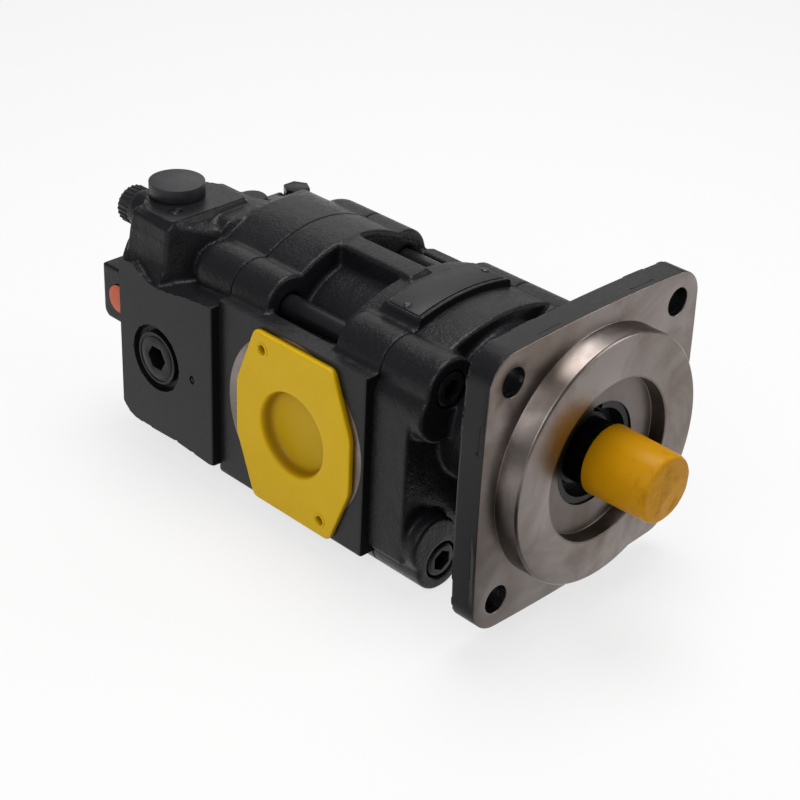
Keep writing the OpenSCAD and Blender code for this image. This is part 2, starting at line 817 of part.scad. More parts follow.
// Bearing block between two planes, with its seal groove on the side away from the gears
module bearing_block(z0, groove_z) {
    side_gap = 0.12;
    color("#a9abae") pump_frame() difference() {
        between(z0, z0 + block_l) twin_discs(chamber_r - side_gap);
        for (y = axes_y) rod_z(0, y, z0 - over, z0 + block_l + over, bush_outer_r);
        between(groove_z, groove_z + block_groove_d) twin_band(block_groove_in, block_groove_out);
    }
}

front_block_z = front_z - block_play - block_l;
rear_block_z = rear_z + block_play;

module front_bearing_block() {
    bearing_block(front_block_z, front_block_z + block_l - block_groove_d + seat_gap);
}

module rear_bearing_block() {
    bearing_block(rear_block_z, rear_block_z - seat_gap);
}

module bushes(z0) {
    color("#a88a4e") pump_frame() difference() {
        for (y = axes_y) rod_z(0, y, z0, z0 + block_l, bush_outer_r - 0.01);
        for (y = axes_y) rod_z(0, y, z0 - over, z0 + block_l + over, bush_inner_r);
    }
}

module front_bushes() {
    bushes(front_block_z);
}

module rear_bushes() {
    bushes(rear_block_z);
}

module block_seal(z0) {
    color("#1b1b1d") pump_frame() between(z0, z0 + block_groove_d - 2 * seat_gap)
        twin_band(block_groove_in + seal_side_gap, block_groove_out - seal_side_gap);
}

module front_block_seal() {
    block_seal(front_block_z + block_l - block_groove_d + 2 * seat_gap);
}

module rear_block_seal() {
    block_seal(rear_block_z);
}

module body_seal(z0) {
    color("#1b1b1d") pump_frame() between(z0, z0 + seal_groove_d - 2 * seat_gap)
        twin_band(seal_groove_in + seal_side_gap, seal_groove_out - seal_side_gap);
}

module front_body_seal() {
    body_seal(front_z - seal_groove_d + seat_gap);
}

module rear_body_seal() {
    body_seal(rear_z + seat_gap);
}

module shaft_seal() {
    back_z1 = lip_seal_front - lip_seal_l;
    rim = 3;
    web_t = 2.5;
    lip_l = 5;
    color("#1d1d1f") pump_frame() translate([0, 0, back_z1]) rotate_extrude($fn = fine) polygon([
        [journal_r + run_gap, 0], [journal_r + run_gap, lip_l], [journal_r + 2, lip_l],
        [journal_r + 3, web_t], [lip_seal_r - rim, web_t], [lip_seal_r - rim, lip_seal_l - seat_gap],
        [lip_seal_r - seat_gap, lip_seal_l - seat_gap], [lip_seal_r - seat_gap, 0]
    ]);
}

module seal_retaining_ring() {
    gap_angle = 14;
    color("#55565a") pump_frame() translate([0, 0, lip_seal_front + seat_gap]) difference() {
        cylinder(r = lip_seal_r + ring_groove_d - 0.2, h = ring_t - 2 * seat_gap, $fn = fine);
        translate([0, 0, -over]) cylinder(r = ring_in_r, h = ring_t + 2 * over, $fn = fine);
        translate([0, 0, -over]) linear_extrude(ring_t + 2 * over)
            polygon([
                [0, 0], polar(2 * lip_seal_r, 90 - gap_angle / 2), polar(2 * lip_seal_r, 90 + gap_angle / 2)
            ]);
    }
}

module dowels(z0) {
    color("#7d7f82") pump_frame() for (p = dowel_points)
        rod_z(p[0], p[1], z0 - dowel_half_l, z0 + dowel_half_l, dowel_r, 48);
}

module front_dowels() {
    dowels(front_z);
}

module rear_dowels() {
    dowels(rear_z);
}

module tie_bolts() {
    color("#39383a") pump_frame() for (p = tie_points) difference() {
        union() {
            rod_z(p[0], p[1], tie_end_z, tie_seat_z + over, tie_r);
            rod_z(p[0], p[1], tie_seat_z, tie_seat_z + tie_head_h, tie_head_r);
        }
        translate([p[0], p[1], tie_seat_z + tie_head_h - tie_socket_d])
            linear_extrude(tie_socket_d + over) hexagon(tie_socket);
    }
}

// Transit parts

// Cover outline as [distance along the shaft, height] about the port's centre
module cover_outline() {
    corners = [
        [-cover_flat_z, cover_half_y], [cover_flat_z, cover_half_y], [cover_half_z, cover_flat_y],
        [cover_half_z, -cover_flat_y], [cover_flat_z, -cover_half_y], [-cover_flat_z, -cover_half_y],
        [-cover_half_z, -cover_flat_y], [-cover_half_z, cover_flat_y]
    ];
    hull() for (c = corners)
        translate([c[0] - sign(c[0]) * cover_corner_r, c[1] - sign(c[1]) * cover_corner_r])
            circle(r = cover_corner_r, $fn = 24);
}

module suction_cover() {
    face_x = pad_x + cover_t;
    cup_r = suction_r - cup_gap;
    color("#e0b01c") pump_frame() difference() {
        union() {
            translate([-pad_x - seat_gap, port_y, port_z]) rotate([0, -90, 0])
                linear_extrude(cover_t) cover_outline();
            rod_x(-pad_x - over, -face_x + cover_dish + cup_wall, port_y, port_z, cup_r, fine);
        }
        rod_x(-face_x - over, -face_x + cover_dish, port_y, port_z, cup_r - cup_wall, fine);
        for (s = [-1, 1])
            rod_x(-face_x - over, -pad_x + over, port_y + s * suction_bolt_y / 2,
                port_z - s * suction_bolt_z / 2, push_pin_r + seat_gap, 32);
    }
}

module cover_push_pins() {
    face_x = pad_x + cover_t + seat_gap;
    color("#d8a81a") pump_frame() for (s = [-1, 1])
        translate([-face_x, port_y + s * suction_bolt_y / 2, port_z - s * suction_bolt_z / 2])
            rotate([0, 90, 0]) difference() {
                union() {
                    translate([0, 0, -push_pin_head_h])
                        cylinder(r = push_pin_r, h = push_pin_l + push_pin_head_h, $fn = 32);
                    translate([0, 0, -push_pin_head_h - seat_gap])
                        cylinder(r = push_pin_head_r, h = push_pin_head_h, $fn = 32);
                    translate([0, 0, cover_t + 1])
                        cylinder(r1 = suction_thread_d / 2 - 0.15, r2 = push_pin_r, h = 3, $fn = 32);
                }
                translate([0, 0, -push_pin_head_h - over])
                    cylinder(r = push_pin_dimple_r, h = push_pin_dimple_d + over, $fn = 32);
            }
}

module shaft_sleeve() {
    root_z = 10.5;
    root_r = 17.6;
    end_r = 16.9;
    end_wall = 2;
    bevel = 1.6;
    sleeve_gap = 0.2;
    end_z = shaft_out + sleeve_gap + end_wall;
    color("#dc9514") pump_frame() difference() {
        union() {
            translate([0, 0, root_z])
                cylinder(r1 = root_r, r2 = end_r, h = end_z - root_z - bevel, $fn = fine);
            translate([0, 0, end_z - bevel])
                cylinder(r1 = end_r, r2 = end_r - bevel, h = bevel, $fn = fine);
        }
        rod_z(0, 0, root_z - over, shaft_out + sleeve_gap, spline_r + sleeve_gap);
    }
}

module name_plate() {
    plate_z = front_z - plate_front - plate_l;
    color("#242326") pump_frame()
        plate_ring(
            crown_front_r - plate_t + seat_gap, crown_front_r, plate_z, front_z - plate_front, plate_half
        );
}

// Place something on the name plate's seat at its left or right end
module rivet_axis(side) {
    angle = asin((plate_middle - crown_x + side * plate_rivet_x) / crown_front_r);
    translate([crown_x, crown_top - crown_front_r, front_z - plate_front - plate_l / 2])
        rotate([0, 0, -angle]) translate([0, crown_front_r, 0]) rotate([-90, 0, 0]) children();
}

module name_plate_rivets() {
    color("#b9b9ba") pump_frame() for (sx = [-1, 1]) rivet_axis(sx)
        translate([0, 0, 0.1])
            cylinder(r1 = plate_rivet_r, r2 = plate_rivet_r - 0.8, h = plate_rivet_h, $fn = 32);
}

module top_port_cap() {
    tab_w = 5;
    tab_out = 2.5;
    tab_t = 2;
    color("#19191b") pump_frame() {
        rod_y(-top_port_x, top_pad_y + seat_gap, top_pad_y + top_cap_h, top_port_z, top_cap_r, fine);
        rod_y(-top_port_x, top_pad_y - top_cap_stem, top_pad_y + over, top_port_z, top_bore_r - 0.2);
        translate([-top_port_x + top_cap_r - over, top_pad_y + seat_gap, top_port_z - tab_w / 2])
            cube([tab_out + over, tab_t, tab_w]);
    }
}

module control_port_plug() {
    head_r = 7.8;
    head_t = 1.2;
    color("#d9682f") pump_frame() {
        rod_x(control_x - head_t, control_x - seat_gap, control_y, control_z, head_r);
        rod_x(control_x - head_t, control_x + control_bore_d - 2, control_y, control_z, control_bore_r - 0.2);
    }
}

module gallery_ball_plug() {
    color("#b4b4b6") pump_frame() translate([-side_x + ball_plug_r, ball_plug_y, ball_plug_z])
        sphere(r = ball_plug_r, $fn = 32);
}

module gallery_hex_plug() {
    color("#3a393b") pump_frame() {
        translate([hex_plug_x, hex_plug_seat_y + seat_gap, hex_plug_z]) rotate([-90, 0, 0])
            linear_extrude(hex_plug_head_h) hexagon(hex_plug_head);
        rod_y(hex_plug_x, hex_plug_seat_y - hex_plug_l, hex_plug_seat_y + over, hex_plug_z, hex_plug_r, 48);
    }
}

// Valves

// Plug of the spool bore, drawn along z with its head outwards
module spool_plug() {
    color("#38373a") difference() {
        union() {
            cylinder(r = spool_plug_r, h = spool_plug_l + over, $fn = round_fn);
            translate([0, 0, spool_plug_l + seat_gap])
                cylinder(r = spool_head_r, h = spool_head_h, $fn = fine);
        }
        translate([0, 0, spool_plug_l + spool_head_h + seat_gap - spool_socket_d])
            linear_extrude(spool_socket_d + over) hexagon(spool_socket);
        translate([0, 0, spool_plug_l - 1.6])
            ring_cut(spool_plug_r - 1.6, spool_plug_r + over, 1.6 + seat_gap);
        translate([0, 0, spool_plug_l + spool_head_h + seat_gap - 0.5])
            ring_cut(spool_head_r - 2.6, spool_head_r - 2.6 + spool_ring_groove, 1);
    }
}

module ring_cut(r_in, r_out, h) {
    difference() {
        cylinder(r = r_out, h = h, $fn = fine);
        translate([0, 0, -over]) cylinder(r = r_in, h = h + 2 * over, $fn = fine);
    }
}

module on_left_plug() {
    translate([spool_left_x, spool_y, spool_z]) rotate([0, -90, 0]) children();
}

module on_right_plug() {
    translate([spool_right_x, spool_y, spool_z]) rotate([0, 90, 0]) children();
}

module spool_plug_left() {
    pump_frame() on_left_plug() spool_plug();
}

module spool_plug_right() {
    pump_frame() on_right_plug() spool_plug();
}

module plug_ring() {
    translate([0, 0, spool_plug_l - 1.5]) ring_cut(spool_plug_r - 1.5, spool_plug_r, 1.4);
}

module spool_plug_seals() {
    color("#1b1b1d") pump_frame() {
        on_left_plug() plug_ring();
        on_right_plug() plug_ring();
    }
}

module priority_spool() {
    start_x = spool_left_x + spool_end_gap;
    lands = 4;
    land_w = spool_l / (2 * lands - 1);
    color("#9fa1a4") pump_frame() {
        for (i = [0:lands - 1])
            rod_x(start_x + 2 * i * land_w, start_x + (2 * i + 1) * land_w, spool_y, spool_z, spool_r);
        rod_x(start_x + over, start_x + spool_l - over, spool_y, spool_z, spool_groove_r);
        rod_x(start_x + spool_l - over, start_x + spool_l + spring_guide_l, spool_y, spool_z, spring_guide_r);
    }
}

module spool_spring() {
    length = spool_spring_l - spool_travel;
    color("#a8aaad") pump_frame() translate([spool_right_x - seat_gap - length, spool_y, spool_z])
        rotate([0, 90, 0]) coil(spring_guide_r + spool_wire / 2 + 0.8, spool_wire, length, 6);
}

module relief_cartridge() {
    color("#8f9194") pump_frame() difference() {
        rod_z(relief_x, relief_y, relief_boss_z + seat_gap, relief_seat_z - seat_gap,
            relief_bore_r - seat_gap);
        rod_z(relief_x, relief_y, relief_boss_z - over, relief_seat_z - relief_seat_t, relief_inner_r);
        rod_z(relief_x, relief_y, relief_boss_z, relief_seat_z + over, relief_seat_hole_r, 48);
    }
}

module relief_poppet() {
    cone_l = 4;
    nose_r = 1.4;
    nose_l = 1.2;
    color("#b9bbbd") pump_frame() translate([relief_x, relief_y, relief_poppet_z - relief_poppet_l]) {
        cylinder(r = relief_poppet_r, h = relief_poppet_l - cone_l, $fn = round_fn);
        translate([0, 0, relief_poppet_l - cone_l])
            cylinder(r1 = relief_poppet_r, r2 = relief_seat_hole_r - 0.2, h = cone_l, $fn = round_fn);
        translate([0, 0, relief_poppet_l - over]) cylinder(r = nose_r, h = nose_l + over, $fn = 32);
    }
}

module relief_spring() {
    color("#a8aaad") pump_frame() translate([relief_x, relief_y, relief_screw_z + seat_gap])
        coil(
            relief_inner_r - relief_wire / 2 - 0.4, relief_wire,
            relief_spring_l - relief_gap - poppet_travel, 6, 6, 16
        );
}

module relief_adjuster() {
    color("#4a4a4d") pump_frame() difference() {
        rod_z(relief_x, relief_y, relief_screw_end, relief_screw_z, relief_screw_r);
        translate([relief_x, relief_y, relief_screw_end - over])
            linear_extrude(relief_socket_d + over) hexagon(relief_socket);
    }
}

module relief_lock_nut() {
    near_z = relief_boss_z - seat_gap - lock_nut_t;
    color("#6d6e71") pump_frame() translate([relief_x, relief_y, near_z]) difference() {
        linear_extrude(lock_nut_t) hexagon(lock_nut);
        translate([0, 0, -over])
            cylinder(r = relief_screw_r + seat_gap, h = lock_nut_t + 2 * over, $fn = round_fn);
    }
}

module ribbed_cap() {
    base_r1 = rib_cap_r - rib_depth;
    rear = relief_boss_z - seat_gap - rib_cap_l;
    color("#1a1a1c") pump_frame() difference() {
        union() {
            rod_z(relief_x, relief_y, rear, relief_boss_z - seat_gap, rib_cap_collar_r);
            rod_z(relief_x, relief_y, rear, relief_boss_z - seat_gap - rib_cap_collar_l, base_r1);
            for (i = [0:rib_count - 1])
                translate([relief_x, relief_y, rear + 0.6]) rotate([0, 0, i * 360 / rib_count])
                    translate([base_r1 - over, -rib_w / 2, 0])
                        cube([rib_depth + over, rib_w, rib_cap_l - rib_cap_collar_l - 0.6]);
        }
        rod_z(relief_x, relief_y, rear + rib_cap_wall, relief_boss_z + over,
            rib_cap_collar_r - rib_cap_wall + 0.2);
    }
}

front_cover();
pump_body();
rear_cover();
drive_gear_shaft();
driven_gear_shaft();
front_bearing_block();
rear_bearing_block();
front_bushes();
rear_bushes();
front_block_seal();
rear_block_seal();
front_body_seal();
rear_body_seal();
shaft_seal();
seal_retaining_ring();
front_dowels();
rear_dowels();
tie_bolts();
suction_cover();
cover_push_pins();
shaft_sleeve();
name_plate();
name_plate_rivets();
spool_plug_left();
spool_plug_right();
spool_plug_seals();
priority_spool();
spool_spring();
top_port_cap();
control_port_plug();
gallery_ball_plug();
gallery_hex_plug();
relief_cartridge();
relief_poppet();
relief_spring();
relief_adjuster();
relief_lock_nut();
ribbed_cap();
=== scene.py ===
"""Dresses the hydraulic gear pump: castings, covers, screws, caps and the studio round them."""

from math import atan2, cos, hypot, inf, pi, radians, sin

import bmesh
import bpy
import numpy as np
from mathutils import Matrix, Vector, noise
from mathutils.bvhtree import BVHTree
from mathutils.kdtree import KDTree


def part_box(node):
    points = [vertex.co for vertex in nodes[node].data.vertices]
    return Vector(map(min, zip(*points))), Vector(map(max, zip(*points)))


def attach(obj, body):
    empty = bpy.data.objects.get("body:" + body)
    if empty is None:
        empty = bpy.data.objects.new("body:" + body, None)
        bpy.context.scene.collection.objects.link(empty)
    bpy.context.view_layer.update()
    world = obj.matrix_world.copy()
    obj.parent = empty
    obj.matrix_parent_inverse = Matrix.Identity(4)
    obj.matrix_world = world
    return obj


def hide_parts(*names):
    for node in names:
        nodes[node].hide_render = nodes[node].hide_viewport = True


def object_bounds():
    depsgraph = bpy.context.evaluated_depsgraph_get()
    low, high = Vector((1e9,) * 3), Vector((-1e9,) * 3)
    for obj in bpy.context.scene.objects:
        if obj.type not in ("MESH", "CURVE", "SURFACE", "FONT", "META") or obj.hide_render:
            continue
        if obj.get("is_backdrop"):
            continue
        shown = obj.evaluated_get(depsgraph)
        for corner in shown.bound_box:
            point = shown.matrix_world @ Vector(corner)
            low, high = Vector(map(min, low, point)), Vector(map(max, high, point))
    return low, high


bl_info = {
    "name": "Hydraulic gear pump",
    "version": (1, 0, 0),
    "blender": (4, 5, 0),
    "location": "3D View > Sidebar > Pump",
    "description": "Builds a cast iron gear pump round its CAD frame",
    "category": "Object",
}

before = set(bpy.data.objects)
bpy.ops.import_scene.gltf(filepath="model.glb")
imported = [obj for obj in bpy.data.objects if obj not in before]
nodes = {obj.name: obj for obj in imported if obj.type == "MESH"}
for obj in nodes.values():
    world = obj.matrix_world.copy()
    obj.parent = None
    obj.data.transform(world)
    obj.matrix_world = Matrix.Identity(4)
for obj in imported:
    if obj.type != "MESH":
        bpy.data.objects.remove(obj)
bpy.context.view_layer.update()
body_low, body_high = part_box("pump_body")
rear_low, rear_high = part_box("rear_cover")
MM = 0.001
PIN_BARB = 5.1 * MM  # the push pins' boxes reach to their barbs
COVER_DROP = 2.6 * MM  # the transit cover hangs a little low on its pins
RING_PERIOD = 0.314  # metres between the rings of a Wave texture at scale 1
MOST_TRIANGLES = 190000  # of a casting
SHARP = radians(28)  # an edge that is broken; the finest turned steps are flatter


def middle(node):
    """Centre of a CAD node's box."""
    low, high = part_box(node)
    return (low + high) / 2


def linear(code):
    """Linear colour of an sRGB hex value."""
    parts = [int(code[i : i + 2], 16) / 255 for i in (1, 3, 5)]
    return [c / 12.92 if c <= 0.04045 else ((c + 0.055) / 1.055) ** 2.4 for c in parts]


def rgba(colour):
    """A linear colour with full alpha, from a hex value or three numbers."""
    return (*(linear(colour) if isinstance(colour, str) else colour), 1)


def per_metre(size_mm):
    """Texture scale whose features are about that many millimetres across."""
    return 1000 / size_mm


def feed(node, inputs):
    """Gives a node its inputs, by name or in order: each a plain value, or the socket that drives it."""
    for socket, given in inputs.items() if isinstance(inputs, dict) else enumerate(inputs):
        if isinstance(given, bpy.types.NodeSocket):
            node.id_data.links.new(given, node.inputs[socket])
        else:
            node.inputs[socket].default_value = given


def add(tree, kind, inputs=(), **settings):
    """Adds a node with its settings, input values and links, and gives its outputs."""
    node = tree.nodes.new(kind)
    for name, value in settings.items():
        setattr(node, name, value)
    feed(node, inputs)
    return node.outputs


ROUND_AXIS = {"wave_type": "RINGS", "rings_direction": "Y"}
# What the first word of a row stands for: a node, the inputs that the row fills, an output and settings
ROW_WORDS = {
    "noise": ("TexNoise", ("Vector", "Scale", "Detail", "Roughness", "Distortion"), 0, {}),
    "rings": ("TexWave", ("Vector", "Scale", "Distortion", "Detail", "Detail Scale"), 1, ROUND_AXIS),
    "range": ("MapRange", ("Value", "From Min", "From Max", "To Min", "To Max"), 0, {}),
    "colours": ("Mix", (0, 6, 7), 2, {"data_type": "RGBA"}),
    "numbers": ("Mix", (0, 2, 3), 0, {"data_type": "FLOAT"}),
    "scaled": ("VectorMath", (0, 1, 2), 0, {"operation": "MULTIPLY_ADD"}),
    "length": ("VectorMath", (0,), "Value", {"operation": "LENGTH"}),
    "distance": ("VectorMath", (0, 1), "Value", {"operation": "DISTANCE"}),
    "bump": ("Bump", ("Height", "Strength", "Distance"), 0, {}),
}


def valued(made, given):
    """What a word stands for, a hex colour or the name of a value made before, or a plain value as it is."""
    if isinstance(given, str):
        return rgba(given) if given.startswith("#") else made[given]
    return given


def woven(tree, made, rows):
    """Adds a node for each row, under its name; a row starts with a word of ROW_WORDS or a Math operation."""
    for label, (word, *given) in rows.items():
        kind, sockets, output, settings = ROW_WORDS.get(word, ("Math", range(3), 0, {"operation": word}))
        inputs = {socket: valued(made, value) for socket, value in zip(sockets, given)}
        made[label] = add(tree, "ShaderNode" + kind, inputs, **settings)[output]


def start_material(name):
    """An empty material with a Principled shader: (material, shader, the values its rows may name)."""
    material = bpy.data.materials.new(name)
    material.use_nodes = True
    tree = material.node_tree
    tree.nodes.clear()
    surface = add(tree, "ShaderNodeBsdfPrincipled")[0]
    add(tree, "ShaderNodeOutputMaterial", {"Surface": surface})
    place = add(tree, "ShaderNodeTexCoord")["Object"]
    colours = bpy.context.scene.pump_colours
    made = {"place": place, **dict(zip("xyz", add(tree, "ShaderNodeSeparateXYZ", [place])))}
    return material, surface.node, made | {key: rgba(getattr(colours, key)) for key in PumpColours.__annotations__}


def enamelled_cast_iron():
    """Grey iron cast in sand, milled where it seals and sprayed with satin black enamel.

    The sand's grain and the runs of the thin coat stand out as small highlights, milled flats are
    smoother, the joints between castings are fine dark lines, and the turned front and the milled
    circle round the suction port are left bare, with rings from the tool and patches of an oil film.
    Painted shade darkens the turned recess round the seal's bore.
    """
    port = middle("cover_push_pins")
    marks = bpy.context.scene.pump_sizes.tool_marks * MM
    rows = {
        # The sand is drawn coarser than its real 0.5 mm, to show
        "sand": ("noise", "place", per_metre(1.5), 4.0, 0.55),
        "lumps": ("noise", "place", per_metre(13), 2.0, 0.45),
        "patch": ("noise", "place", per_metre(30), 7.0, 0.7),
        "stain": ("noise", "place", per_metre(46), 6.0, 0.6, 0.8),
        "soot": ("noise", "place", per_metre(11), 8.0, 0.75),
        "rings": ("rings", "place", RING_PERIOD / marks, 0.6, 2.0, 0.4),
        # Where the iron is bare: the milled circle on the pad, and the front but for the seal's bore
        "to_port": ("scaled", "place", (0, 1, 1), (0, -port.y - 1.5 * MM, -port.z)),
        "port_distance": ("length", "to_port"),
        "port_circle": ("LESS_THAN", "port_distance", 47.4 * MM),
        "pad_side": ("LESS_THAN", "x", body_low.x + 0.3 * MM),
        "before_rear": ("LESS_THAN", "y", body_high.y - 0.1 * MM),
        "on_pad": ("MULTIPLY", "pad_side", "before_rear"),
        "bare_pad": ("MULTIPLY", "port_circle", "on_pad"),
        "to_axis": ("scaled", "place", (1, 0, 1)),
        "axis_distance": ("length", "to_axis"),
        "front": ("LESS_THAN", "y", 0.35 * MM),
        "in_bore": ("LESS_THAN", "axis_distance", 27 * MM),
        "deep": ("GREATER_THAN", "y", -4.2 * MM),
        "seal_bore": ("MULTIPLY", "in_bore", "deep"),
        "bare_front": ("SUBTRACT", "front", "seal_bore"),
        "bare": ("MAXIMUM", "bare_pad", "bare_front"),
        # Painted shade: the turned recess round the seal's bore is darkened towards a brown grey
        "near_axis": ("LESS_THAN", "axis_distance", 42 * MM),
        "recess": ("SUBTRACT", "near_axis", "deep"),
        "recess_shade": ("MULTIPLY", "recess", 0.42),
        # Milled under the enamel: the sides that seal and the outlet's pad
        "rear_side": ("LESS_THAN", "x", rear_low.x + 0.3 * MM),
        "top_pad": ("GREATER_THAN", "z", rear_high.z - 0.3 * MM),
        "flat_side": ("MAXIMUM", "on_pad", "rear_side"),
        "flat": ("MAXIMUM", "flat_side", "top_pad"),
        "rough": ("MULTIPLY_ADD", "flat", -0.9, 1.0),
        # The joints
        "front_joint": ("COMPARE", "y", body_low.y, 0.45 * MM),
        "rear_joint": ("COMPARE", "y", body_high.y, 0.45 * MM),
        "joint": ("MAXIMUM", "front_joint", "rear_joint"),
        "joint_depth": ("MULTIPLY", "joint", 0.8),
        "joint_shade": ("MULTIPLY", "joint", 0.95),
        # Heights in half millimetres
        "lump_height": ("MULTIPLY", "lumps", 1.6),
        "grain_height": ("MULTIPLY_ADD", "sand", 0.6, "lump_height"),
        "cast_height": ("MULTIPLY", "grain_height", "rough"),
        "ring_height": ("MULTIPLY", "rings", 0.018),
        "turned_height": ("MULTIPLY_ADD", "patch", 0.08, "ring_height"),
        "surface": ("numbers", "bare", "cast_height", "turned_height"),
        "height": ("SUBTRACT", "surface", "joint_depth"),
        "relief": ("bump", "height", 1.0, 0.5 * MM),
        # Colour and gloss
        "coat": ("colours", "patch", "enamel", "enamel_worn"),
        "jointed": ("colours", "joint_shade", "coat", "#020202"),
        "stained": ("range", "stain", 0.42, 0.62, 0.0, 1.0),
        "clean": ("colours", "stained", "iron", "iron_tan"),
        "ring_shade": ("MULTIPLY", "rings", 0.07),
        "ringed": ("colours", "ring_shade", "clean", "#4C4643"),
        "sooty": ("range", "soot", 0.56, 0.72, 0.0, 0.45),
        "smudged": ("colours", "sooty", "ringed", "#5F5753"),
        # Painted shade in the turned recess
        "recess_shaded": ("colours", "recess_shade", "smudged", "#453D39"),
        "colour": ("colours", "bare", "jointed", "recess_shaded"),
        "cast_gloss": ("range", "sand", 0.3, 0.7, 0.26, 0.42),
        "iron_gloss": ("range", "patch", 0.3, 0.7, 0.27, 0.4),
        "face_gloss": ("numbers", "bare", "cast_gloss", "iron_gloss"),
        "gloss": ("MAXIMUM", "face_gloss", "joint_shade"),
    }
    return rows, {"Metallic": "bare", "Specular IOR Level": 0.24}


def moulded_polyethylene():
    """Polyethylene moulded in a cheap polished tool: waxy and even, hardly translucent.

    The cup is painted darker with its depth, as painted shade: most on the wall, and darker and greener on the floor.
    """
    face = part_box("suction_cover")[0].x
    rows = {
        "grain": ("noise", "place", per_metre(1.2), 5.0, 0.6),
        "patch": ("noise", "place", per_metre(14), 6.0, 0.65),
        # Painted shade in the cup, growing with depth from its rim
        "depth": ("range", "x", face + 0.4 * MM, face + 8 * MM, 0.0, 1.0),
        "shallow": ("SUBTRACT", 1.0, "depth"),
        "between": ("MULTIPLY", "depth", "shallow"),
        "wall": ("MULTIPLY", "between", 2.9),
        "floor": ("MULTIPLY", "depth", 0.5),
        "yellow": ("colours", "patch", "cover", "#D4AC00"),
        # Painted shade on the cup's floor and wall
        "floor_shaded": ("colours", "floor", "yellow", "#A88800"),
        "colour": ("colours", "wall", "floor_shaded", "#7A5200"),
        "gloss": ("range", "patch", 0.3, 0.7, 0.4, 0.52),
        "relief": ("bump", "grain", 0.6, 0.05 * MM),
    }
    waxy = {"Subsurface Weight": 0.05, "Subsurface Scale": 0.003, "IOR": 1.51, "Specular IOR Level": 0.2}
    return rows, waxy


def dipped_vinyl():
    """Vinyl cap dipped on a former and pulled over the greased splines.

    It has the soft gloss of a dipped skin, and grease is smeared brown round its end.
    """
    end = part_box("shaft_sleeve")[0].y
    rows = {
        "cloud": ("noise", "place", per_metre(7), 7.0, 0.7),
        "wide": ("noise", "place", per_metre(16), 3.0, 0.5),
        "near_end": ("range", "y", end, end + 26 * MM, 0.14, -0.06),
        "grease": ("ADD", "cloud", "near_end"),
        "smear": ("range", "grease", 0.6, 0.82, 0.0, 0.4),
        "amber": ("colours", "wide", "sleeve", "#B87E06"),
        "colour": ("colours", "smear", "amber", "#774805"),
        "gloss": ("range", "cloud", 0.3, 0.7, 0.3, 0.52),
        "relief": ("bump", "wide", 0.8, 0.5 * MM),
    }
    soft = {"IOR": 1.53, "Specular IOR Level": 0.1, "Subsurface Weight": 0.06, "Subsurface Scale": 0.003}
    return rows, soft


def gear_steel_painted_shade():
    """Case-hardened steel, ground behind the seal and drawn dark on the splines in front of it.

    The dull dark grey in front is painted shade, as in the seal's bore; the ground part is bright and smooth.
    """
    rows = {
        "grain": ("noise", "place", per_metre(0.7), 5.0, 0.6),
        "ground": ("GREATER_THAN", "y", 12 * MM),
        # Painted shade: the splines in front of the seal are drawn dark grey
        "dark": ("colours", "grain", "#1E1C1B", "#363230"),
        "bright": ("colours", "grain", "#9C9B99", "#B4B3B1"),
        "colour": ("colours", "ground", "dark", "bright"),
        "gloss": ("range", "ground", 0.0, 1.0, 0.42, 0.26),
        "relief": ("bump", "grain", 0.5, 0.03 * MM),
    }
    return rows, {"Metallic": 0.9}


# Finishes whose colour and gloss only wander over patches, each in the order of speckled()
SPECKLED = {
    # Polyethylene plug pressed from an eroded tool: satin, a little faded where it was handled
    "moulded_orange_cap": ("control_plug", "#BC4A1E", 1.0, 0.05, 0.35, 0.5, 6.0, {"IOR": 1.5}),
    # Black polyethylene cap from an eroded tool: matt, with dust in the pores
    "moulded_black_cap": ("#1D1C1F", "#262529", 0.7, 0.05, 0.4, 0.55, 7.0, {"IOR": 1.5}),
    # Turned steel blackened in a hot salt bath and oiled: nearly black, with an oily sheen
    "black_oxide_steel": ("#1C1B1D", "#2C2A2D", 0.8, 0.03, 0.28, 0.42, 5.0, {"Metallic": 0.8}),
    # The castings' enamel sprayed on the rolled steel of the long screws: smooth, without the sand's grain
    "enamelled_steel": ("#131215", "#1C1B1E", 0.9, 0.03, 0.3, 0.42, 9.0, {"Specular IOR Level": 0.3}),
    # Hardened gear steel ground on its flanks and journals: bright, with a short fine lay
    "ground_steel": ("#A7A6A4", "#B9B8B6", 0.6, 0.02, 0.22, 0.34, 6.0, {"Metallic": 1.0}),
    # Spring wire drawn through a die and oiled: grey, smooth, darker than ground steel
    "drawn_spring_wire": ("#8C8D90", "#A5A6A8", 0.5, 0.02, 0.25, 0.38, 4.0, {"Metallic": 1.0}),
    # Aluminium bar extruded and milled on its ends: pale, with a soft even sheen
    "extruded_aluminium": ("#B5B5B4", "#C6C6C5", 0.6, 0.02, 0.3, 0.42, 6.0, {"Metallic": 1.0}),
    # Aluminium rivet set by a hammer under the enamel: dark, with metal through the coat on its crown
    "painted_rivet": ("#242326", "#58565A", 0.9, 0.05, 0.26, 0.4, 1.6, {"Metallic": 0.55}),
    # Bronze powder pressed, sintered and filled with oil: brownish gold, dull in its pores
    "sintered_bronze": ("#9C7440", "#B58A50", 0.5, 0.03, 0.34, 0.46, 4.0, {"Metallic": 1.0}),
    # Nitrile rubber cured in a mould: black, with the dry bloom of its wax
    "nitrile_rubber": ("#141415", "#1C1C1D", 0.5, 0.03, 0.5, 0.65, 4.0, {"IOR": 1.52}),
    # Rolled sheet printed with black lacquer: flat and even, duller than the enamel round it
    "lacquered_plate": ("plate", "#252427", 0.6, 0.02, 0.4, 0.52, 8.0, {"Metallic": 0.3}),
}


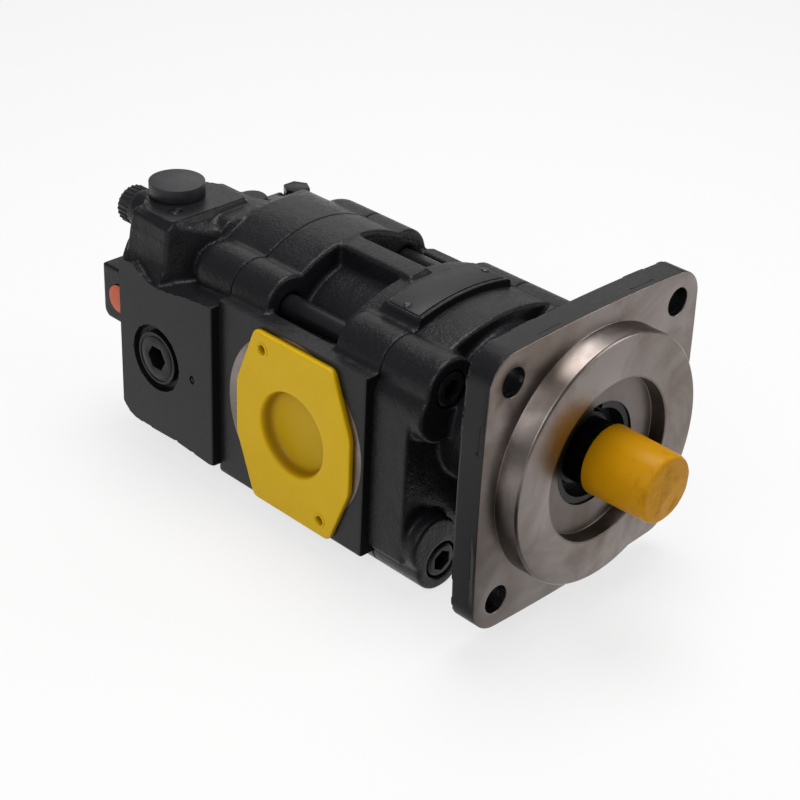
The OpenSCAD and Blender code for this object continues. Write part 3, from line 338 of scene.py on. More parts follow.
def speckled(first, second, grain_mm, height_mm, least, most, patch_mm, shader_values):
    """A finish whose colour and gloss wander, with a fine grain in relief."""
    rows = {
        "grain": ("noise", "place", per_metre(grain_mm), 5.0, 0.6),
        "patch": ("noise", "place", per_metre(patch_mm), 6.0, 0.65),
        "colour": ("colours", "patch", first, second),
        "gloss": ("range", "patch", 0.3, 0.7, least, most),
        "relief": ("bump", "grain", 0.6, height_mm * MM),
    }
    return rows, shader_values


def finish(name):
    """The material of that name, made when it is first asked for; its rows end in colour, gloss and relief."""
    if name in bpy.data.materials:
        return bpy.data.materials[name]
    own = {f.__name__: f for f in (enamelled_cast_iron, moulded_polyethylene, dipped_vinyl, gear_steel_painted_shade)}
    rows, shader_values = own[name]() if name in own else speckled(*SPECKLED[name])
    material, shader, made = start_material(name)
    woven(material.node_tree, made, rows)
    ends = {"Base Color": "colour", "Roughness": "gloss", "Normal": "relief"} | shader_values
    feed(shader, {socket: valued(made, given) for socket, given in ends.items()})
    return material


# Of the nodes that keep their CAD shape: by node, or else by the CAD's own slot
CAD_FINISH = {
    "seal_retaining_ring": "black_oxide_steel",
    "gallery_ball_plug": "black_oxide_steel",
    "drive_gear_shaft": "gear_steel_painted_shade",
    "gear_steel": "ground_steel",
    "spring_steel": "drawn_spring_wire",
    "dark_steel": "black_oxide_steel",
    "block_aluminium": "extruded_aluminium",
    "bush_bronze": "sintered_bronze",
    "seal_rubber": "nitrile_rubber",
}


def linked(name, data):
    """A new object in the scene."""
    piece = bpy.data.objects.new(name, data)
    bpy.context.scene.collection.objects.link(piece)
    return piece


def add_piece(name, mesh, material, *replaced, body="housing", smooth=35):
    """Puts a finished mesh in the scene: shaded, given its material, riding on its body and standing for its nodes."""
    piece = linked(name, mesh)
    mesh.name = name
    mesh.materials.clear()
    mesh.materials.append(finish(material))
    mesh.polygons.foreach_set("material_index", [0] * len(mesh.polygons))
    mesh.polygons.foreach_set("use_smooth", [True] * len(mesh.polygons))
    mesh.set_sharp_from_angle(angle=radians(smooth))
    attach(piece, body)
    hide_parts(*replaced)


def plain_mesh(bm, name):
    """Turns a bmesh into a mesh."""
    mesh = bpy.data.meshes.new(name)
    bm.to_mesh(mesh)
    bm.free()
    return mesh


def to_mesh(bm, name):
    """Turns a bmesh into a mesh with its doubles merged and its faces outward."""
    bmesh.ops.remove_doubles(bm, verts=bm.verts, dist=1e-6)
    bmesh.ops.recalc_face_normals(bm, faces=bm.faces)
    return plain_mesh(bm, name)


def pattern_object(name, bm):
    """A passing object that a tree copies or a boolean cuts with."""
    return linked(name, to_mesh(bm, name))


def merged_copy(node):
    """A bmesh of a CAD node with its loose triangles joined and its flats whole again."""
    bm = bmesh.new()
    bm.from_mesh(nodes[node].data)
    bmesh.ops.remove_doubles(bm, verts=bm.verts, dist=2e-6)
    return bm


def triangulated(bm):
    """Turns the faces that broken edges or cuts leave large into triangles."""
    bmesh.ops.triangulate(bm, faces=[f for f in bm.faces if len(f.verts) > 4])


def break_edges(bm, width_mm, flat_degrees, ends_at=inf):
    """Makes flat faces whole and breaks the sharp edges that start before ends_at by a small radius."""
    bmesh.ops.dissolve_limit(bm, angle_limit=radians(flat_degrees), verts=bm.verts, edges=bm.edges)
    sharp = [e for e in bm.edges if len(e.link_faces) == 2 and e.calc_face_angle() > SHARP]
    sharp = [e for e in sharp if min(v.co.y for v in e.verts) < ends_at]
    radius = {"offset": width_mm * MM, "segments": 2, "profile": 0.5, "clamp_overlap": True}
    bmesh.ops.bevel(bm, geom=sharp, affect="EDGES", **radius)
    triangulated(bm)


def turned(profile, centre, axis, steps):
    """A closed mesh turned from a profile of (radius, distance along the axis) in millimetres."""
    axis = Vector(axis)
    side = axis.orthogonal().normalized()
    other = axis.cross(side)
    bm = bmesh.new()
    rings = []
    for radius, along in profile:
        middle_point = Vector(centre) + axis * along * MM
        angles = [2 * pi * i / steps for i in range(steps if radius else 1)]
        spokes = [(side * cos(a) + other * sin(a)) * radius * MM for a in angles]
        rings.append([bm.verts.new(middle_point + spoke) for spoke in spokes])
    bridge(bm, rings)
    return bm


def bridge(bm, rings):
    """Faces between each ring of points and the next; a ring may be a single pole."""
    for first, second in zip(rings, rings[1:]):
        count = max(len(first), len(second))
        for i in range(count):
            j = (i + 1) % count
            corners = [first[i % len(first)], first[j % len(first)], second[j % len(second)], second[i % len(second)]]
            unique = list(dict.fromkeys(corners))
            if len(unique) > 2:
                bm.faces.new(unique)


def rounded(points, radius, steps):
    """A profile whose corners are turned into arcs of about that radius."""
    out = [points[0]]
    for corner in zip(points, points[1:], points[2:]):
        before, here, after = (np.array(p, float) for p in corner)
        sides = [(side, np.linalg.norm(side)) for side in (before - here, after - here)]
        reach = min(radius, *(length * 0.49 for _, length in sides))
        start, end = (here + side / length * reach for side, length in sides)
        for i in range(steps + 1):
            t = i / steps
            out.append(tuple((1 - t) ** 2 * start + 2 * t * (1 - t) * here + t * t * end))
    out.append(points[-1])
    return out


def evaluated_mesh(host):
    """A plain mesh of what an object's modifiers make, after which the object is removed."""
    graph = bpy.context.evaluated_depsgraph_get()
    mesh = bpy.data.meshes.new_from_object(host.evaluated_get(graph))
    bpy.data.objects.remove(host)
    return mesh


def modified(mesh, kind, **settings):
    """The plain mesh that one modifier makes of a mesh."""
    host = linked("modified_host", mesh)
    modifier = host.modifiers.new(kind, kind)
    for name, value in settings.items():
        setattr(modifier, name, value)
    return evaluated_mesh(host)


def combined(first, second, operation):
    """The mesh of two closed bmeshes joined ("UNION") or cut ("DIFFERENCE") by a boolean."""
    other = pattern_object("boolean_other", second)
    mesh = modified(to_mesh(first, "boolean_first"), "BOOLEAN", operation=operation, object=other)
    bpy.data.objects.remove(other)
    return mesh


def shelf():
    """A bmesh of the cast shelf that twists from the crown of the rear cover to the front of the outlet pad.

    Each section is an outline of (x, height) at a distance behind the rear joint, in millimetres.
    """
    top = [(-20, 47.5), (-8, 47.5), (1, 45), (10, 38.5), (10, 0)]
    sections = {
        31.5: [
            (-41, 0), (-41, 17), (-38, 27), (-34.5, 37), (-30, 40.9), (-25, 42.5), (-20, 43.7), (-14, 44.9),
            (-8, 45.8), (0, 46.3), (10, 46.1), (10, 0),
        ],
        38.5: [
            (-56, 0), (-56, 17), (-53, 27), (-50.5, 38), (-48, 45), (-40, 44), (-30, 43), (-20, 44.7),
            (-8, 46.1), (0, 45.8), (10, 42), (10, 0),
        ],
        44: [(-66, 0), (-66, 17), (-62, 27), (-61, 38), (-60, 46.8), (-46, 47.4), (-32, 47.5), *top],
        74: [(-67, 0), (-67, 17), (-63, 27), (-61, 38), (-59, 47.4), (-46, 47.5), (-32, 47.5), *top],
    }
    bm = bmesh.new()
    rows = [
        [bm.verts.new((x * MM, body_high.y + behind * MM, height * MM)) for x, height in outline]
        for behind, outline in sections.items()
    ]
    bm.faces.new(rows[0])
    bm.faces.new(rows[-1])
    for first, second in zip(rows, rows[1:]):
        for i in range(len(first)):
            j = (i + 1) % len(first)
            bm.faces.new((first[i], first[j], second[j]))
            bm.faces.new((first[i], second[j], second[i]))
    return bm


def cast_skin(node, voxel_mm, edge_mm, crisp):
    """A casting's skin: the CAD surface with the soft edges that sand leaves.

    The copy is remeshed, its points near sharp edges are smoothed and all others put back on the CAD
    surface. Near a machined edge, which crisp(point) tells, the points snap to the edge itself.
    """
    edge_angle, sample_step, smoothing_rounds = radians(22), 0.3 * MM, 5
    snap_reach, seam_reach, seam_depth = 0.52 * voxel_mm * MM, 0.6 * voxel_mm * MM, 0.5
    bm = merged_copy(node)
    if node == "rear_cover":
        mesh = combined(bm, shelf(), "UNION")
        bm = bmesh.new()
        bm.from_mesh(mesh)
    surface = BVHTree.FromBMesh(bm)
    samples = []
    for edge in bm.edges:
        if len(edge.link_faces) == 2 and edge.calc_face_angle() > edge_angle:
            a, b = (v.co for v in edge.verts)
            count = max(2, int((b - a).length / sample_step) + 1)
            samples += [a.lerp(b, i / (count - 1)) for i in range(count)]
    edges = KDTree(len(samples))
    for i, point in enumerate(samples):
        edges.insert(point, i)
    edges.balance()
    skin = modified(plain_mesh(bm, node), "REMESH", mode="VOXEL", voxel_size=voxel_mm * MM)
    count = len(skin.vertices)
    places = np.empty(count * 3)
    skin.vertices.foreach_get("co", places)
    places = places.reshape(-1, 3)
    pairs = np.empty(len(skin.edges) * 2, int)
    skin.edges.foreach_get("vertices", pairs)
    pairs = pairs.reshape(-1, 2)
    valence = np.bincount(pairs.ravel(), minlength=count)[:, None]
    near = [edges.find(p) for p in places]
    distance = np.array([n[2] for n in near])[:, None]
    nearest = np.array([n[0] for n in near])
    machined = np.array([crisp(p) for p in nearest])[:, None]
    on_surface = np.array([surface.find_nearest(p)[0] for p in places])
    smooth = places.copy()
    for _ in range(smoothing_rounds):
        total = np.zeros_like(smooth)
        np.add.at(total, pairs[:, 0], smooth[pairs[:, 1]])
        np.add.at(total, pairs[:, 1], smooth[pairs[:, 0]])
        smooth = total / np.maximum(valence, 1)
    t = np.clip(distance / (edge_mm * MM), 0, 1)
    blend = t * t * (3 - 2 * t)
    soft = smooth * (1 - blend) + on_surface * blend
    hard = np.where(distance < snap_reach, nearest, on_surface)
    # The joints between castings are sunk to a seam
    seam = np.min([abs(nearest[:, 1:2] - joint.y) for joint in (body_low, body_high)], axis=0) < 0.1 * MM
    seam &= distance < seam_reach
    sunk = nearest + (smooth - nearest) * seam_depth
    sunk[:, 1] = nearest[:, 1]
    final = np.where(machined, np.where(seam, sunk, hard), soft)
    skin.vertices.foreach_set("co", final.ravel())
    skin.update()
    return skin


def trimmed(bm, at_y, keep_behind):
    """Cuts a bmesh across the shaft at one place, keeps one side and closes the cut."""
    plane = {"plane_co": (0, at_y, 0), "plane_no": (0, 1, 0), "dist": 1e-7}
    sides = {"clear_inner": keep_behind, "clear_outer": not keep_behind}
    cut = bmesh.ops.bisect_plane(bm, geom=[*bm.verts, *bm.edges, *bm.faces], **plane, **sides)
    rim = [e for e in cut["geom_cut"] if isinstance(e, bmesh.types.BMEdge) and e.is_valid and e.is_boundary]
    bmesh.ops.triangle_fill(bm, use_beauty=True, use_dissolve=False, edges=rim, normal=(0, 1, 0))


def turned_front(node, skin, at_y, edge_mm):
    """The skin of a casting with its front, up to at_y, taken from the CAD node with its edges broken."""
    exact = merged_copy(node)
    trimmed(exact, at_y, False)
    bmesh.ops.remove_doubles(exact, verts=exact.verts, dist=2e-6)
    # The flange's sides are bowed by little more than this angle from face to face
    break_edges(exact, edge_mm, 0.05, at_y - 1e-6)
    both = bmesh.new()
    both.from_mesh(skin)
    trimmed(both, at_y, True)
    both.from_mesh(plain_mesh(exact, node + "_front"))
    bmesh.ops.recalc_face_normals(both, faces=both.faces)
    both.to_mesh(skin)
    both.free()
    return skin


def copies(tree, points, pattern, **more):
    """The instances of a pattern object on points."""
    shape = add(tree, "GeometryNodeObjectInfo", {"Object": pattern})["Geometry"]
    return add(tree, "GeometryNodeInstanceOnPoints", {"Points": points, "Instance": shape} | more)[0]


def grown(name, material, sizes, build):
    """The plain mesh that a Geometry Nodes tree makes; build(tree, inputs) returns the socket of its instances.

    The sizes become the tree's named inputs, and the pattern objects among them are removed at the end.
    """
    sizes = sizes | {"Finish": ("Material", finish(material))}
    tree = bpy.data.node_groups.new(name, "GeometryNodeTree")
    for way in ("INPUT", "OUTPUT"):
        tree.interface.new_socket("Geometry", in_out=way, socket_type="NodeSocketGeometry")
    keys = [
        tree.interface.new_socket(label, socket_type="NodeSocket" + kind).identifier
        for label, (kind, _) in sizes.items()
    ]
    inputs = add(tree, "NodeGroupInput")
    real = add(tree, "GeometryNodeRealizeInstances", [build(tree, inputs)])[0]
    done = add(tree, "GeometryNodeSetMaterial", {"Geometry": real, "Material": inputs["Finish"]})[0]
    add(tree, "NodeGroupOutput", [done])
    host = linked(name + "_host", bpy.data.meshes.new(name))
    modifier = host.modifiers.new(name, "NODES")
    modifier.node_group = tree
    for key, (_, value) in zip(keys, sizes.values()):
        modifier[key] = value
    mesh = evaluated_mesh(host)
    for kind, value in sizes.values():
        if kind == "Object":
            bpy.data.objects.remove(value)
    return mesh


def millimetres(name, description, default, least, most):
    """A size that a user may change; Blender's own unit of length is the metre."""
    about = description + ", in millimetres"
    return bpy.props.FloatProperty(name=name, description=about, default=default, min=least, max=most)


def tint(name, description, default):
    """A colour that a user may change."""
    return bpy.props.FloatVectorProperty(name=name, description=description, subtype="COLOR", default=linear(default))


class PumpSizes(bpy.types.PropertyGroup):
    """Sizes a user may change."""

    voxel: millimetres("Skin pitch", "Pitch of a casting's skin", 1.0, 0.6, 2)
    cast_edge: millimetres("Cast edge", "Reach of a cast edge's rounding", 2.2, 0.5, 5)
    turned_edge: millimetres("Turned edge", "Radius on turned and milled edges", 0.4, 0.1, 1)
    # Drawn coarser than the real 0.3 mm, so that it shows
    tool_marks: millimetres("Tool marks", "Pitch of the rings on the turned face", 1.1, 0.3, 3)
    cover_edge: millimetres("Cover edge", "Radius on the suction cover's edges", 1.0, 0.2, 2)


class PumpColours(bpy.types.PropertyGroup):
    """Colours a user may change; a finish's rows may name them."""

    enamel: tint("Enamel", "Black enamel on the castings", "#121114")
    enamel_worn: tint("Thin enamel", "Enamel where it is thin or dusty", "#1E1D20")
    iron: tint("Turned iron", "Bare turned iron", "#8C837F")
    iron_tan: tint("Stained iron", "Bare iron under a film of oil", "#746961")
    cover: tint("Suction cover", "Yellow of the suction cover", "#E2B800")
    sleeve: tint("Shaft sleeve", "Amber of the shaft sleeve", "#CE9406")
    control_plug: tint("Control plug", "Orange of the control port plug", "#D65F2C")
    plate: tint("Name plate", "Lacquer of the bare name plate", "#1A191B")


class PUMP_OT_castings(bpy.types.Operator):
    """Front cover, pump body and rear cover with soft cast edges"""

    bl_idname = "pump.castings"
    bl_label = "Castings"

    def execute(self, context):
        sizes = context.scene.pump_sizes
        on, near, seal_radius, front_depth = 0.1 * MM, 0.2 * MM, 30 * MM, 3 * MM

        def machined(p):
            on_joint = abs(p[1] - body_low.y) < on or abs(p[1] - body_high.y) < on
            turned_part = p[1] < 0.5 * MM or hypot(p[0], p[2]) < seal_radius
            flats = p[0] < body_low.x + near or p[0] < rear_low.x + near or p[2] > rear_high.z - near
            return on_joint or turned_part or flats

        for node in ("front_cover", "pump_body", "rear_cover"):
            skin = cast_skin(node, sizes.voxel, sizes.cast_edge, machined)
            triangles = 2 * len(skin.polygons)
            if triangles > MOST_TRIANGLES:
                skin = modified(skin, "DECIMATE", ratio=MOST_TRIANGLES / triangles)
            if node == "front_cover":
                skin = turned_front(node, skin, front_depth, sizes.turned_edge)
            add_piece(node + "_casting", skin, "enamelled_cast_iron", node, smooth=40)
        return {"FINISHED"}


def reaches(border, turns):
    """How far a closed border lies from the origin in each direction."""
    start, side = border[:-1], np.diff(border, axis=0)
    found = []
    for turn in turns:
        ray = (cos(turn), sin(turn))
        cross = ray[0] * side[:, 1] - ray[1] * side[:, 0]
        cross[abs(cross) < 1e-12] = np.nan
        t = (start[:, 0] * side[:, 1] - start[:, 1] * side[:, 0]) / cross
        u = (start[:, 0] * ray[1] - start[:, 1] * ray[0]) / cross
        found.append(t[(t > 0) & (u >= -1e-9) & (u <= 1 + 1e-9)][0])
    return found


def pin_places():
    """Where the two push pins' heads stand."""
    low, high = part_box("cover_push_pins")
    barb, drop = Vector((0, PIN_BARB, PIN_BARB)), Vector((0, 0, COVER_DROP))
    return Vector((low.x, high.y, high.z)) - barb - drop, low + barb - drop


class PUMP_OT_suction_cover(bpy.types.Operator):
    """Yellow transit cover with its dished cup"""

    bl_idname = "pump.suction_cover"
    bl_label = "Suction cover"

    def execute(self, context):
        edge = context.scene.pump_sizes.cover_edge
        low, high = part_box("suction_cover")
        half_y = (high.y - low.y) / 2 / MM
        half_z = (high.z - low.z) / 2 / MM - 1
        flat_y, flat_z, corner, pin_hole = 27.5, 15.0, 3.0, 3.02 * MM
        face, floor, underside, count = -3.0, 5.0, 7.0, 192
        upper = [(half_y, flat_z), (flat_y, half_z), (-flat_y, half_z), (-half_y, flat_z)]
        outline = upper + [(-y, -z) for y, z in upper]
        border = rounded([outline[-1], *outline, outline[0]], corner, 8)[1:-1]
        turns = [2 * pi * i / count for i in range(count)]
        rim_reaches = reaches(np.array([*border, border[0]]), turns)
        # Radius and depth in the cup, distance in from the outline and depth on the rim, and the back
        cup = [(0, floor), (10, floor), (17.2, floor), (18.8, floor - 0.15), (20.1, floor - 0.8), (20.9, floor - 2)]
        cup += [(21.4, floor - 3.4), (22.2, face + 1.6), (22.6, face + 0.7), (23.1, face + 0.15), (24, face)]
        easing = np.linspace(0.2, pi / 2, 5)
        rim = [(12, face), (4, face), (edge + 0.1, face)]
        rim += [(edge - edge * sin(a), face + edge * (1 - cos(a))) for a in easing] + [(0, 0)]
        back = [(22.7, 0), (22.2, underside - 0.6), (21.6, underside), (0, underside)]
        bm = bmesh.new()
        rings = []
        origin = Vector((low.x - face * MM, (low.y + high.y) / 2, (low.z + high.z) / 2 - COVER_DROP))
        for section in (cup, rim, back):
            for size, depth in section:
                radii = [reach - size for reach in rim_reaches] if section is rim else [size] * (count if size else 1)
                spokes = [(depth, r * cos(turn), r * sin(turn)) for r, turn in zip(radii, turns)]
                rings.append([bm.verts.new(origin + Vector(spoke) * MM) for spoke in spokes])
        bridge(bm, rings)
        drill = bmesh.new()
        across = Matrix.Rotation(pi / 2, 4, "Y")
        for place in pin_places():
            hole = {"segments": 48, "radius1": pin_hole, "radius2": pin_hole, "depth": 20 * MM, "cap_ends": True}
            bmesh.ops.create_cone(drill, matrix=Matrix.Translation(place) @ across, **hole)
        mesh = combined(bm, drill, "DIFFERENCE")
        add_piece("suction_cover_moulding", mesh, "moulded_polyethylene", "suction_cover")
        return {"FINISHED"}


class PUMP_OT_push_pins(bpy.types.Operator):
    """Two hollow push pins that hold the suction cover"""

    bl_idname = "pump.push_pins"
    bl_label = "Push pins"

    def execute(self, context):
        low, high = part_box("cover_push_pins")
        head, shank, bore, length = 3.9, 3.0, 2.4, (high.x - low.x) / MM
        profile = [(0, length - 2), (bore, length - 2), (bore, 1.0), (bore + 0.3, 0.25), (bore + 0.8, 0.0)]
        profile += [(head, 0.4), (head, 0.6), (shank, 0.6), (shank, length - 1), (shank - 0.9, length), (0, length)]
        pin = turned(rounded(profile, 0.25, 2), (0, 0, 0), (1, 0, 0), 48)
        first, second = pin_places()

        def build(tree, inputs):
            ends = {"Count": 2, "Start Location": inputs["First"], "Offset": inputs["Step"]}
            return copies(tree, add(tree, "GeometryNodeMeshLine", ends)[0], inputs["Pin"])

        sizes = {
            "First": ("Vector", tuple(first)),
            "Step": ("Vector", tuple(second - first)),
            "Pin": ("Object", pattern_object("pin_pattern", pin)),
        }
        mesh = grown("cover_pin_pair", "moulded_polyethylene", sizes, build)
        add_piece("cover_pins", mesh, "moulded_polyethylene", "cover_push_pins")
        return {"FINISHED"}


class PUMP_OT_plate_rivets(bpy.types.Operator):
    """Two round-headed rivets of the name plate"""

    bl_idname = "pump.plate_rivets"
    bl_label = "Name plate rivets"

    def execute(self, context):
        bm = merged_copy("name_plate_rivets")
        for side in (-1, 1):
            verts = [v for v in bm.verts if (v.co.x - middle("name_plate_rivets").x) * side > 0]
            top = sorted(verts, key=lambda v: -v.co.z)[: len(verts) // 2]
            crown = sum((v.co for v in top), Vector()) / len(top)
            faces = [f for f in bm.faces if all(v in top for v in f.verts)]
            bmesh.ops.dissolve_faces(bm, faces=faces)
            near = [f for f in bm.faces if (f.calc_center_median() - crown).length < MM]
            lid = max(near, key=lambda f: f.calc_area())
            for inset, lift in ((0.35, 0.22), (0.4, 0.08), (0.3, -0.12)):
                bmesh.ops.inset_region(bm, faces=[lid], thickness=inset * MM, depth=lift * MM)
        triangulated(bm)
        mesh = to_mesh(bm, "plate_rivets")
        add_piece("plate_rivets", mesh, "painted_rivet", "name_plate_rivets", smooth=60)
        return {"FINISHED"}


class PUMP_OT_ribbed_cap(bpy.types.Operator):
    """Ribbed cap over the relief valve's adjusting screw"""

    bl_idname = "pump.ribbed_cap"
    bl_label = "Ribbed cap"

    ribs: bpy.props.IntProperty(name="Ribs", description="Ribs round the cap", default=24, min=12, max=36)

    def execute(self, context):
        low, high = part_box("ribbed_cap")
        centre = (low + high) / 2
        outer, length = (high.x - low.x) / 2 / MM, (high.y - low.y) / MM
        rib_height, collar, wall, nose = 0.8, 2.0, 2.2, 0.9
        root, brim, bore = outer - rib_height, outer - 0.5, outer - wall - 0.3
        outside = [(0, 0), (root - 1.2, 0), (root, nose), (root, length - collar), (brim, length - collar)]
        profile = rounded([*outside, (brim, length)], 0.4, 2) + [(bore, length), (bore, wall), (0, wall)]
        body = turned(profile, (centre.x, high.y, centre.z), (0, -1, 0), 96)
        rib = bmesh.new()
        half, rib_length = 0.6, length - collar - nose
        flank = [(half, -0.4), (half * 0.8, rib_height * 0.5), (half * 0.35, rib_height)]
        section = flank + [(-across, up) for across, up in reversed(flank)]
        rows = [
            [rib.verts.new(Vector((up * share if up > 0 else up, across, along)) * MM) for across, up in section]
            for along, share in ((0.0, 1.0), (rib_length - 0.7, 1.0), (rib_length, 0.3))
        ]
        bridge(rib, rows)
        rib.faces.new(rows[0])
        rib.faces.new(rows[-1])

        def build(tree, inputs):
            size = {"Vertices": inputs["Ribs"], "Radius": inputs["Root radius"]}
            circle = add(tree, "GeometryNodeMeshCircle", size)[0]
            made = {"index": add(tree, "GeometryNodeInputIndex")[0], "ribs": inputs["Ribs"]}
            woven(tree, made, {"step": ("DIVIDE", 2 * pi, "ribs"), "turn": ("MULTIPLY", "index", "step")})
            turns = add(tree, "ShaderNodeCombineXYZ", {2: made["turn"]})[0]
            ribs = copies(tree, circle, inputs["Rib"], Rotation=turns)
            root_end = (centre.x, low.y + collar * MM, centre.z)
            laid = {"Geometry": ribs, "Rotation": (-pi / 2, 0, 0), "Translation": root_end}
            standing = add(tree, "GeometryNodeTransform", laid)[0]
            cap = add(tree, "GeometryNodeObjectInfo", {"Object": inputs["Cap"]})["Geometry"]
            joined = add(tree, "GeometryNodeJoinGeometry", [cap])[0]
            tree.links.new(standing, joined.node.inputs[0])
            return joined

        sizes = {
            "Ribs": ("Int", self.ribs),
            "Root radius": ("Float", root * MM),
            "Rib": ("Object", pattern_object("cap_rib", rib)),
            "Cap": ("Object", pattern_object("cap_body", body)),
        }
        mesh = grown("ribbed_cap_set", "moulded_black_cap", sizes, build)
        add_piece("ribbed_adjuster_cap", mesh, "moulded_black_cap", "ribbed_cap", smooth=40)
        return {"FINISHED"}


class PUMP_OT_shaft_sleeve(bpy.types.Operator):
    """Amber sleeve over the splined shaft"""

    bl_idname = "pump.shaft_sleeve"
    bl_label = "Shaft sleeve"

    def execute(self, context):
        low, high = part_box("shaft_sleeve")
        length = (high.y - low.y) / MM
        radius = (high.x - low.x) / 2 / MM
        outer = [(0, length), (6.5, length - 0.05), (radius - 1.2, length - 0.5), (radius - 0.55, length - 3.0)]
        inner = [(radius, 0.5), (radius - 0.3, 0), (15.9, 0.1), (15.85, length - 2.1), (0, length - 2)]
        bm = turned(rounded(outer, 1.6, 5) + inner, (0, high.y, 0), (0, -1, 0), 128)
        # Soft vinyl never comes off its former quite round
        swell_reach, swell, core = 22 * MM, 0.035, 2 * MM
        for place in (vertex.co for vertex in bm.verts):
            share = max(0.0, 1 - (place.y - low.y) / swell_reach)
            if hypot(place.x, place.z) > core:
                lump = noise.noise(place * 55) * 0.9 + noise.noise(place * 150) * 0.25
                place.y += abs(lump) * share**4 * 0.8 * MM
                place.x *= 1 - max(0.0, lump) * share * swell
                place.z *= 1 - max(0.0, lump) * share * swell
        add_piece("sleeve", to_mesh(bm, "sleeve"), "dipped_vinyl", "shaft_sleeve", body="drive_gear")
        return {"FINISHED"}


class PUMP_OT_tie_bolts(bpy.types.Operator):
    """Four long screws through the lugs"""

    bl_idname = "pump.tie_bolts"
    bl_label = "Tie bolts"

    def execute(self, context):
        low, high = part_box("tie_bolts")
        head, shank, key, key_depth, head_length = 9.0, 6.0, 5.0, 6.0, 12.0
        length = (high.y - low.y) / MM
        profile = [(0, key_depth), (key, key_depth), (key, 0), (7.4, 0), (8.9, 0.9), (head, head_length)]
        profile += [(shank, head_length), (shank, length), (0, length)]
        screw = turned(profile[:1] + rounded(profile[1:], 0.4, 2), (0, 0, 0), (0, 1, 0), 48)
        # The key's round bore is pulled out to a hexagon
        for place in (vertex.co for vertex in screw.verts):
            radius = hypot(place.x, place.z)
            if abs(radius - key * MM) < 0.45 * MM and place.y < (key_depth + 0.5) * MM:
                sector = (atan2(place.z, place.x) + pi / 6) % (pi / 3) - pi / 6
                share = key * MM / cos(sector) / radius
                place.x *= share
                place.z *= share

        def build(tree, inputs):
            corners = {"Size X": inputs["Spread across"], "Size Y": inputs["Spread up"]}
            grid = add(tree, "GeometryNodeMeshGrid", corners | {"Vertices X": 2, "Vertices Y": 2})[0]
            centre = ((low.x + high.x) / 2, low.y, (low.z + high.z) / 2)
            upright = {"Geometry": grid, "Rotation": (pi / 2, 0, 0), "Translation": centre}
            return copies(tree, add(tree, "GeometryNodeTransform", upright)[0], inputs["Screw"])

        sizes = {
            "Spread across": ("Float", high.x - low.x - 2 * head * MM),
            "Spread up": ("Float", high.z - low.z - 2 * head * MM),
            "Screw": ("Object", pattern_object("tie_bolt_pattern", screw)),
        }
        mesh = grown("tie_bolt_set", "enamelled_steel", sizes, build)
        add_piece("long_screws", mesh, "enamelled_steel", "tie_bolts")
        return {"FINISHED"}


class PUMP_OT_small_parts(bpy.types.Operator):
    """Plugs, plate and caps with broken edges"""

    bl_idname = "pump.small_parts"
    bl_label = "Plugs, plate and caps"

    def execute(self, context):
        edge = context.scene.pump_sizes.turned_edge
        small = {
            "spool_plug_left": ("near_spool_plug", "black_oxide_steel", edge),
            "spool_plug_right": ("far_spool_plug", "black_oxide_steel", edge),
            "name_plate": ("bare_plate", "lacquered_plate", 0.12),
            "top_port_cap": ("outlet_cap", "moulded_black_cap", 0.5),
            "control_port_plug": ("orange_plug", "moulded_orange_cap", 0.4),
            "gallery_hex_plug": ("hexagon_plug", "black_oxide_steel", 0.4),
            "relief_cartridge": ("relief_body", "black_oxide_steel", 0.2),
        }
        for node, (name, material, width) in small.items():
            bm = merged_copy(node)
            break_edges(bm, width, 0.8)
            add_piece(name, to_mesh(bm, name), material, node, smooth=30)
        return {"FINISHED"}


class PUMP_OT_inner_pieces(bpy.types.Operator):
    """Gears, bearings, seals and springs keep their CAD shape and get their own finishes"""

    bl_idname = "pump.inner_pieces"
    bl_label = "Inner pieces"

    def execute(self, context):
        for name, node in nodes.items():
            if node.hide_render:
                continue
            for place in node.material_slots:
                slot = place.material.name.split(".")[0]
                place.link = "OBJECT"
                place.material = finish(CAD_FINISH.get(name) or CAD_FINISH[slot])
        return {"FINISHED"}


